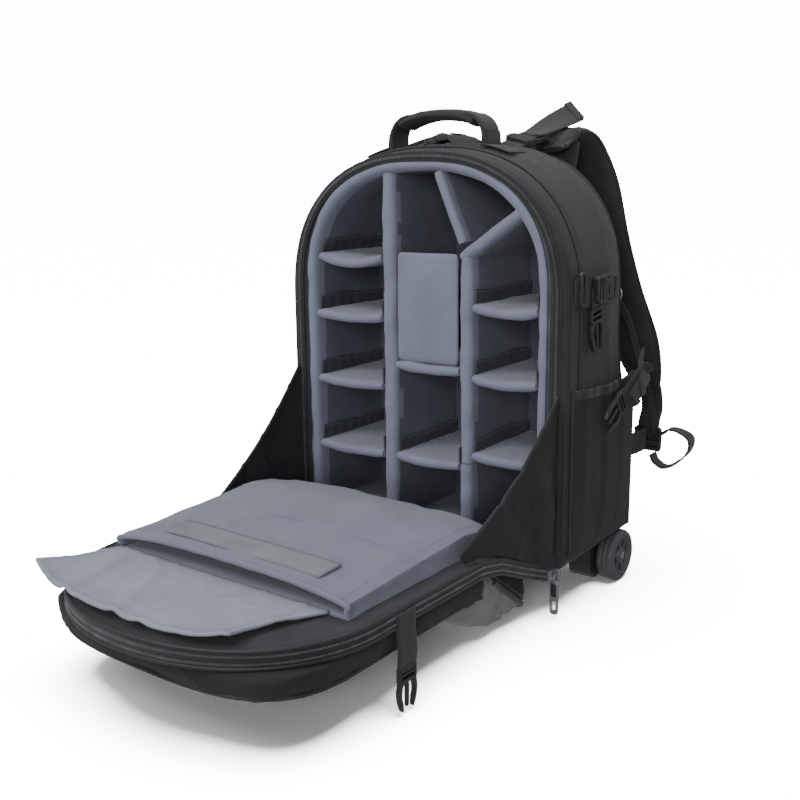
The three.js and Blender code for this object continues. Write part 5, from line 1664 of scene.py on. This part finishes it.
def make_handle():
    """Padded grip between two webbing legs that are sewn to a patch on the top of the case."""
    foot = case_top(HANDLE_HALF, HANDLE_Y)
    half_grip = [(0, HANDLE_Y, HANDLE_CROWN + 1.5), (20, HANDLE_Y, HANDLE_CROWN + 0.3), (34, HANDLE_Y, 463.4),
                 (43, HANDLE_Y, 459.5)]
    grip_path = spline([(-x, y, z) for x, y, z in half_grip[:0:-1]] + half_grip, 60)
    grip = padded_strap("handle_grip", grip_path, (0, 1, 0), 31, 10.5, 131, edge=3.0, wave=0.35)
    dress(grip, "nylon", "carry_handle")
    for y_side in (-1, 1):
        edge = grip_path + [0, y_side * 14.6, -0.5]
        piped(f"handle_binding_{'front' if y_side < 0 else 'rear'}", edge, 1.9, (0, 0, 1), "binding")
    for name, side in SIDES:
        path = [(side * 33, HANDLE_Y, 467), (side * 41, HANDLE_Y, 465), (side * 48, HANDLE_Y, 460.5),
                (side * 52.5, HANDLE_Y, 454), (side * 54.3, HANDLE_Y, 447), (side * 54.3, HANDLE_Y, foot - 3)]
        webbing(f"handle_leg_{name}", path, (0, 1, 0), 29, 4.2, 60)
        webbing(f"handle_fold_{name}", [(side * 57.2, HANDLE_Y, foot - 2), (side * 57.4, HANDLE_Y, foot + 5),
                                        (side * 56.2, HANDLE_Y, 451)], (0, 1, 0), 27, 2.2, 24)
        patch_path = [(side * at, HANDLE_Y, case_top(at, HANDLE_Y) + 1.2) for at in (54, 60, 68, 78, 84)]
        webbing(f"handle_patch_{name}", patch_path, (0, 1, 0), 30, 1.8, 30)
        mid = np.array(patch_path[3]) + [0, 0, 1.3]
        slope = unit(np.array(patch_path[4]) - np.array(patch_path[1]))
        box_stitch(f"handle_patch_{name}_stitches", mid, (0, 1, 0), slope, 22, 14, (side * 0.2, 0, 1))
    grip_rows = [grip_path + [0, y, 5.6] for y in (-9.5, 9.5)]
    studs("handle_stitches", grip_rows, [(0, 0, 1)] * 2, 3.6, (2.6, 0.55, 0.5), "thread_dark")


TOP_BUCKLE = {"x": 60, "y": 104, "scale": 0.86}


def make_top_buckles():
    """Closed buckles on the top, the webbing through them and the free tail behind the right one."""
    x, y, scale = TOP_BUCKLE["x"], TOP_BUCKLE["y"], TOP_BUCKLE["scale"]
    slope = math.atan2(case_top(x + 12, y) - case_top(x - 12, y), 24)
    high = case_top(x, y)
    for name, side in SIDES:
        face = Vector((-math.sin(slope) * side, 0, math.cos(slope)))
        seat = turned_to((side * x, y, high + 9.0), (0, 1, 0.16), face)
        fitting(f"top_buckle_{name}_shell", socket_parts(scale), seat, f"top_buckle_{name}")

        def at(py, lift):
            return np.array([side * x, py, high + 6.2]) + np.array(face) * lift
        path = [at(y - 44, -5.4), at(y - 32, -4.9), at(y - 23, -2.2), at(y - 15, 0.2)]
        webbing(f"top_strap_{name}_front", path, (1, 0, slope * side), 22, 1.8, 40)
        path = [at(y + 16, 5.0), at(y + 23, 4.6), at(y + 31, -1.0), at(y + 38, -5.0)]
        webbing(f"top_strap_{name}_rear", path, (1, 0, slope * side), 22, 1.8, 40)
        box_stitch(f"top_strap_{name}_stitches", at(y - 35, -3.6), (1, 0, slope * side), (0, 1, 0), 17, 10,
                   face)
    lift = high + 15.1
    path = [(61, 108, lift - 3), (61, 126, lift + 2), (63, 156, lift + 12), (66, 196, lift + 24)]
    twist = [(1, 0, 0), (0.9, -0.1, -0.25), (0.7, -0.25, -0.55), (0.5, -0.35, -0.75)]
    webbing("buckle_tail_strip", path, twist, 24, 2.1, 60, "buckle_tail")
    webbing("buckle_tail_hem", [(65.2, 187, lift + 23), (66.2, 197.5, lift + 26)], twist[-1], 24, 2.4, 12)


BACK_PANEL = {"half": 116, "bottom": 70, "top": 418, "thickness": 13}


def make_back_panel():
    """Air mesh back pads with a middle channel and cross channels."""
    half, bottom, top, thickness = (BACK_PANEL[key] for key in ("half", "bottom", "top", "thickness"))
    start = CASE_DEPTH + 0.3
    outline = arch(half, bottom, top - 90, top, 24)
    right = outline[outline[:, 0] >= 0]
    order = np.argsort(right[:, 1])
    rows = []
    heights = np.concatenate([np.linspace(bottom, bottom + 24, 12)[:-1],
                              np.linspace(bottom + 24, top - 24, 90)[:-1],
                              np.linspace(top - 24, top - 0.1, 16)])
    across = np.linspace(-1, 1, 61)
    for z in heights:
        reach = max(float(np.interp(z, right[order, 1], right[order, 0])), 6)
        x = across * reach
        side_room = np.clip((reach - np.abs(x)) / 9, 0, 1)
        end_room = np.clip(np.minimum(z - bottom, top - z) / 9, 0, 1)
        edge = np.sqrt(1 - (1 - np.minimum(side_room, end_room)) ** 2)
        channel = np.exp(-(x / 9) ** 2) * 0.62
        for level in (150, 235, 320):
            channel = np.maximum(channel, 0.5 * np.exp(-((z - level - 8 * np.abs(x) / half) / 4.5) ** 2))
        deep = thickness * (0.28 + 0.72 * edge * (1 - channel))
        back = np.stack([x, start + deep, np.full_like(x, z)], axis=1)
        front = np.stack([x[::-4], np.full(len(x[::-4]), start), np.full(len(x[::-4]), z)], axis=1)
        rows.append(np.concatenate([back, front]))
    obj = skin("back_pads", np.array(rows), around=True, caps=True, crisp=60)
    relief(obj, lambda points: ripple(points, 55, 141) * 0.4 * (points[:, 1] > start + 3))
    dress(obj, "mesh", "back_panel")
    ring = np.stack([outline[:, 0], np.full(len(outline), start + 2.0), outline[:, 1]], axis=1)
    piped("back_panel_binding", ring, 2.2, (0, 1, 0), "binding", closed=True)


STRAP_ROUTE = (
    {"at": (62, 132, 433), "width": 56, "thick": 0.5},
    {"at": (62, 150, 442), "width": 58, "thick": 0.8},
    {"at": (65, 166, 449), "width": 60, "thick": 1},
    {"at": (71, 184, 441), "width": 60, "thick": 1},
    {"at": (78.5, 195, 421), "width": 60, "thick": 1},
    {"at": (88, 202, 391), "width": 59, "thick": 1},
    {"at": (98, 207, 340), "width": 59, "thick": 1},
    {"at": (113, 212, 285), "width": 58, "thick": 1},
    {"at": (133, 216, 235), "width": 54, "thick": 1},
    {"at": (144, 217, 205), "width": 43, "thick": 0.9},
    {"at": (152, 217, 186), "width": 28, "thick": 0.6},
)
STRAP_THICKNESS = 12
ADJUSTER = {"x": 156, "y": 207, "z": 131}
LOOP_ROUTE = ((16.2, 6), (24, 13), (37, 12), (48, 5), (46, -9), (34, -22), (21, -29), (10, -24), (6, -16))


def make_shoulder_strap(name, side, seed):
    """Curved padded strap with bound edges, a webbing strip down its face and a ring on the strip."""
    keys = np.array([row["at"] for row in STRAP_ROUTE], float)
    count = 110
    path = spline(keys, count)
    sizes = spline([(row["width"], row["thick"]) for row in STRAP_ROUTE], count)
    path[:, 0] *= side
    across = unit(np.array([1, 0, 0.12 * side]))
    obj = padded_strap(f"shoulder_pad_{name}", path, across * side, sizes[:, 0] - 5,
                       sizes[:, 1] * STRAP_THICKNESS, seed, edge=3.0, wave=0.7)
    dress(obj, "nylon", f"shoulder_strap_{name}")
    yoke = pillow(f"strap_yoke_{name}", (side * 63, 151.5, 424), (side, 0, 0), (0, 0.3, 1), 28, 21, 10,
                  seed + 4, power=8, wave=0.4)
    dress(yoke, "nylon")
    tangent = unit(np.gradient(path, axis=0))
    flat = unit(across - tangent * (tangent @ across)[:, None])
    out = unit(np.cross(tangent, flat))
    out = out * np.where(out[:, 1:2] + out[:, 2:3] < 0, -1, 1)
    for edge_name, way in (("inner", -side), ("outer", side)):
        edge = path + flat * (way * (sizes[:, :1] / 2 - 3.1))
        piped(f"shoulder_binding_{name}_{edge_name}", edge[2:-1], 2.5, out[2:-1], "binding")
    strip = path + out * (sizes[:, 1:] * STRAP_THICKNESS / 2 + 0.9)
    dress(band(f"shoulder_strip_{name}", strip[22:-4], flat[22:-4], 19, 1.7), "webbing")
    at = 74
    centre = strip[at] + out[at] * 2.2 - tangent[at] * 3
    ring = [centre + flat[at] * (12.5 * math.cos(a)) - tangent[at] * max(8.5 * math.sin(a), -4.5)
            for a in np.linspace(0, 2 * math.pi, 48, endpoint=False)]
    piped(f"shoulder_ring_{name}", np.array(ring), 1.6, tuple(out[at]), "metal", "metal", closed=True)
    loop = strip[70:80] + out[70:80] * (1.5 * np.sin(np.linspace(0, math.pi, 10)) + 1.2)[:, None]
    dress(band(f"shoulder_ring_loop_{name}", loop[:6], flat[70:76], 17, 1.5), "webbing")
    rows = [path + flat * (way * (sizes[:, :1] / 2 - 6.5)) + out * (sizes[:, 1:] * STRAP_THICKNESS / 2 * 0.93)
            for way in (-1, 1)]
    studs(f"shoulder_stitches_{name}", [row[4:-4] for row in rows], [out[4:-4]] * 2, 3.8, (2.7, 0.55, 0.5),
          "thread_dark")


def make_strap_lower(name, side):
    """Webbing from the strap's end through its adjuster, the spare loop and the anchor below."""
    x, y, z = ADJUSTER["x"], ADJUSTER["y"], ADJUSTER["z"]
    mirror = np.array([side, 1, 1])
    path = np.array([(150.5, 217, 190), (153.4, 217, 181), (156, 214.5, 170), (157, 212.5, 161),
                     (156.2, 208.4, 150), (156, 207.4, 139), (156, 209.6, 131), (156, 209.8, 119.5)]) * mirror
    webbing(f"strap_webbing_{name}_strip", path, (side, 0, 0.08 * side), 24, 1.9, 80, f"strap_webbing_{name}")
    holes = [rounded(-12.6, 12.6, low, low + 3.4, 1.2) for low in (-9.4, -1.7, 6.0)]
    parts = [plate("part", rounded(-15, 15, -13, 13, 4), 5.4, 1.2, holes)]
    parts.append(plate("part", rounded(-13, 13, -14.4, -11.6, 1.3), 3.0, 0.9, lift=2.6))
    fitting(f"strap_adjuster_{name}_body", parts, turned_to((side * x, y, z), (0, 0, 1), (0, 1, 0)),
            f"strap_adjuster_{name}")
    route = np.array([(x + out, y, z + up) for out, up in LOOP_ROUTE]) * mirror
    tilt = [(0, 1, 0)] * 3 + [(0, 1, 0.12)] * 3 + [(0, 1, 0)] * 3
    webbing(f"webbing_loop_{name}_strip", route, np.array(tilt) * mirror, 17.5, 1.9, 110,
            f"webbing_loop_{name}")
    start = CASE_DEPTH + 0.4
    path = np.array([(136, start + 0.6, z + 2), (141, start + 3.5, z + 2), (148, 166, z - 0.5),
                     (151.5, 183, z - 1.6), (154, 196, z - 0.6), (154.4, y - 3.6, z)]) * mirror
    webbing(f"strap_anchor_{name}_strip", path, (0, 0, 1), 24, 1.9, 70, f"strap_anchor_{name}")


SIDE_STRAP_Z = 306


def make_side_hardware(name, side):
    """Compression strap with its ladder lock, closed buckle and hanging clip."""
    flat = CASE_HALF + 0.3
    face = (side, 0, 0)
    path = np.array([(flat + 1.0, 9, SIDE_STRAP_Z), (flat + 1.0, 26, SIDE_STRAP_Z),
                     (flat + 1.4, 44, SIDE_STRAP_Z), (flat + 1.0, 70, SIDE_STRAP_Z),
                     (flat + 1.0, 85, SIDE_STRAP_Z)]) * [side, 1, 1]
    webbing(f"side_strap_{name}_strip", path, (0, 0, 1), 24.6, 1.8, 60, f"side_strap_{name}")
    box_stitch(f"side_strap_{name}_stitches", (side * (flat + 2.1), 13.5, SIDE_STRAP_Z), (0, 0, 1),
               (0, 1, 0), 18, 8, face)
    holes = [rounded(-12.2, 12.2, low, low + 2.4, 0.9) for low in (-5.2, 2.8)]
    lock = [plate("part", rounded(-16, 16, -8, 8, 3), 3.8, 1.0, holes)]
    lock.append(plate("part", rounded(-12.5, 12.5, -2.2, 2.2, 1.0), 2.0, 0.8, lift=2.2))
    seat = turned_to((side * (flat + 4.4), 20, SIDE_STRAP_Z + 2), (0, 1, 0), face)
    fitting(f"ladder_lock_{name}_body", lock, seat, f"ladder_lock_{name}")
    seat = turned_to((side * (flat + 6.3), 58, SIDE_STRAP_Z), (0, 1, 0), face)
    fitting(f"side_buckle_{name}_shell", socket_parts(0.8), seat, f"side_buckle_{name}")
    low = SIDE_STRAP_Z - WEBBING_WIDTH / 2
    seat = turned_to((side * (flat + 4.2), 46, low - 24), (0, 0.15 * side, -1), face)
    fitting(f"hanging_clip_{name}_body", prong_parts(0.8), seat, f"hanging_clip_{name}")
    drop = np.array([(flat + 3.4, 44.5, SIDE_STRAP_Z + 2), (flat + 4.6, 44.8, low + 3),
                     (flat + 3.9, 45.2, low - 6)])
    webbing(f"hanging_strap_{name}", drop * [side, 1, 1], (0, 1, 0), 19, 1.7, 30)


TIE_ROUTE = ((120, 168, 300), (127, 176, 286), (139, 186, 258), (151, 192, 214), (160, 199, 176),
             (166, 205, 143), (160, 209, 133))


def make_strap_tie(name, side):
    """Thin webbing that runs in front of the shoulder strap, from a ring on it to the adjuster."""
    route = np.array(TIE_ROUTE) * [side, 1, 1]
    webbing(f"strap_tie_{name}", route[1:], (side, 0.25, 0.5), 6.5, 1.6, 90)
    patch = np.array([(108, 196, 318), (114, 186, 309), (120, 172, 301), (123, 172, 294)]) * [side, 1, 1]
    webbing(f"strap_tie_patch_{name}", patch, (side, 0, 0.5), 13, 1.8, 30)
    middle = route[1] + [0, -1, 2]
    ring = [middle + np.array([side * 6.5 * math.cos(a), 1.5 * math.cos(a), 7.5 * math.sin(a)])
            for a in np.linspace(0, 2 * math.pi, 36, endpoint=False)]
    piped(f"strap_tie_ring_{name}", np.array(ring), 1.4, (0, -1, 0), "metal", "metal", closed=True)


def make_spare_strap():
    """Folded spare webbing with half a buckle, which lies over the mouth of the right side pocket."""
    x = CASE_HALF + SIDE_POCKET["bulge"] + 5
    route = [(x - 9, 148, 232), (x - 4, 138, 226), (x + 1, 124, 217), (x + 2, 104, 209), (x + 3, 90, 203),
             (x + 2, 78, 198)]
    webbing("spare_strap_run", route, [(0, 0.3, 1)] * 3 + [(0.1, 0.45, 0.9)] * 3, 19, 1.8, 60)
    folds = [(x + 4, 84, 199), (x + 5.5, 100, 210), (x + 5, 121, 220), (x + 7.5, 127, 217),
             (x + 8.2, 112, 208), (x + 7.6, 96, 199), (x + 9.2, 92, 200), (x + 10.5, 104, 209),
             (x + 9.8, 117, 216)]
    webbing("spare_strap_folds", folds, (0.05, 0.5, -0.85), 17, 1.6, 140)
    wrap = [(x + 11.8, 104, 219), (x + 12.6, 105.5, 209), (x + 11.4, 108, 199), (x + 4, 109, 196),
            (x - 1, 107, 203)]
    webbing("spare_strap_wrap", wrap, (0.1, 1, 0.35), 9, 1.5, 60)
    fitting("spare_strap_clip", prong_parts(0.8), turned_to((x + 4.5, 62, 190), (0, -0.86, -0.5), (1, 0, 0)))


DOOR_STRAP_Y = -226


def make_door_straps(name, side):
    """Webbing sewn to the door's side, with half a buckle that hangs from it to the floor."""
    x = DOOR_HALF - 0.3 + 1.2
    top = float(door_top(DOOR_STRAP_Y)) - 4
    path = np.array([(x, DOOR_STRAP_Y, top), (x + 0.2, DOOR_STRAP_Y, 66), (x + 1.2, DOOR_STRAP_Y, 52),
                     (x + 0.6, DOOR_STRAP_Y - 0.4, 40.5), (x + 0.4, DOOR_STRAP_Y - 0.6, 35.4)]) * [side, 1, 1]
    webbing(f"door_strap_{name}_strip", path, (0, 1, 0), 24, 1.9, 44, f"door_strap_{name}")
    box_stitch(f"door_strap_{name}_stitches", (side * (x + 1.2), DOOR_STRAP_Y, top - 7), (0, 1, 0),
               (0, 0, 1), 18, 9, (side, 0, 0))
    fitting(f"door_buckle_{name}_body", prong_parts(0.74),
            turned_to((side * x, DOOR_STRAP_Y, 40 - BUCKLE_LENGTH * 0.37), (0, 0, -1), (side, 0, 0)),
            f"door_buckle_{name}")


# Wheels, foot and zipper pull

def turned(name, profile, centre, side, steps=72):
    """A shape turned round the X axis through centre. profile holds (distance along X, radius)."""
    angle = np.linspace(0, 2 * math.pi, steps, endpoint=False)
    rows = [[(centre[0] + side * along, centre[1] + radius * math.cos(a), centre[2] + radius * math.sin(a))
             for a in angle] for along, radius in profile]
    rows.append(rows[0])
    obj = skin(name, np.array(rows), around=True, crisp=38)
    face_out(obj)
    shade_smooth(obj.data, 38)
    return obj


TYRE_PROFILE = ((-9.5, 19.5), (-9.5, 23.2), (-8.4, 25.2), (-6.2, 26.3), (-3.2, 26.5), (-2.6, 26.1),
                (-2.0, 26.5), (2.0, 26.5), (2.6, 26.1), (3.2, 26.5), (6.2, 26.3), (8.4, 25.2), (9.5, 23.2),
                (9.5, 19.5), (8.6, 18.6), (-8.6, 18.6))
HUB_PROFILE = ((-8.2, 4.4), (-8.2, 18.5), (8.2, 18.5), (8.6, 17.6), (8.2, 16.6), (5.2, 15.8), (4.8, 8.6),
               (7.4, 8.0), (8.4, 7.2), (8.4, 4.4))


def make_wheel(name, side):
    """Tyre, hub with six spokes and the end of the axle, which stays still on the bag."""
    centre = (side * (WHEEL_OUTER - WHEEL_WIDTH / 2), WHEEL_Y, WHEEL_RADIUS)
    body = f"wheel_body_{name}"
    tyre = turned(f"tyre_{name}", TYRE_PROFILE, centre, side)
    dress(tyre, "rubber", f"wheel_{name}", body)
    hub = turned(f"hub_{name}", HUB_PROFILE, centre, side)
    dress(hub, "hub", body=body)
    ribs = []
    for i in range(6):
        rib = plate("part", rounded(-1.3, 1.3, 7.4, 16.9, 0.8), 3.4, 0.6, lift=6.0)
        turn = Matrix.Rotation(math.radians(60 * i + 15), 4, "Z")
        ribs.append(placed(rib, turned_to(centre, (0, 0, 1), (side, 0, 0)) @ turn))
    spokes = joined(f"spokes_{name}", ribs)
    dress(spokes, "hub", body=body)
    cap = turned(f"axle_cap_{name}", ((3.0, 3.8), (9.0, 3.8), (9.3, 3.2), (9.4, 0.4), (3.0, 0.4)), centre,
                 side, 32)
    dress(cap, "metal")


PULL_AT = (161, -8.2, 22.5)
SLIDER_AT = (161, -4.2, 42.5)


def make_zipper_pull():
    """Slider at the lower end of the case's zipper, with a plated pull hanging from it."""
    outline = rounded(-4.2, 4.2, -17, 17, 3)
    hole = rounded(-2.0, 2.0, -12.5, -3.5, 1.8)
    parts = [plate("part", outline, 2.6, 0.7, [hole])]
    fitting("zipper_pull_plate", parts, turned_to(PULL_AT, (0, 0, 1), (0, -1, 0)), "zipper_pull",
            "metal")
    grip = plate("zipper_pull_grip", rounded(-2.9, 2.9, 0.5, 13.6, 1.8), 3.6, 0.6)
    placed(grip, turned_to(PULL_AT, (0, 0, 1), (0, -1, 0)))
    dress(grip, "plastic")
    body = [plate("part", [(-2.2, -6.5), (2.2, -6.5), (4.0, 1.0), (4.0, 6.5), (1.4, 7.5), (-1.4, 7.5),
                           (-4.0, 6.5), (-4.0, 1.0)], 3.4, 0.8)]
    fitting("zipper_slider", body, turned_to(SLIDER_AT, (0, 0, 1), (0, -1, 0)), None, "metal")
    arch_path = np.array([(161, -5.8, 37.6), (161, -8.6, 38.6), (161, -9.6, 41), (161, -8.4, 43.6),
                          (161, -5.8, 44.6)])
    piped("zipper_bail", spline(arch_path, 20), 1.1, (1, 0, 0), "metal", "metal")


def finish_cad():
    """Gives the moulded CAD solids that stay their materials."""
    for name in ("wheel_housing_left", "wheel_housing_right", "front_foot"):
        for slot in bpy.data.objects[name].material_slots:
            slot.material = FINISH["plastic"]


# Main

make_camera()
make_lights()
make_floor()
make_materials()
make_case()
make_case_trim()
make_insert()
make_dividers()
for index, row in enumerate(SHELVES):
    make_shelf(row, 300 + 7 * index)
make_middle_pad()
make_door()
make_door_pocket()
make_kick_panel()
make_sleeve()
make_flap()
make_handle()
make_top_buckles()
make_back_panel()
for index, (name, side) in enumerate(SIDES):
    make_gusset(name, side, 31 + index)
    make_side_pocket(name, side, 41 + index)
    make_shoulder_strap(name, side, 151 + 9 * index)
    make_strap_lower(name, side)
    make_side_hardware(name, side)
    make_strap_tie(name, side)
    make_door_straps(name, side)
    make_wheel(name, side)
make_spare_strap()
make_zipper_pull()
finish_cad()
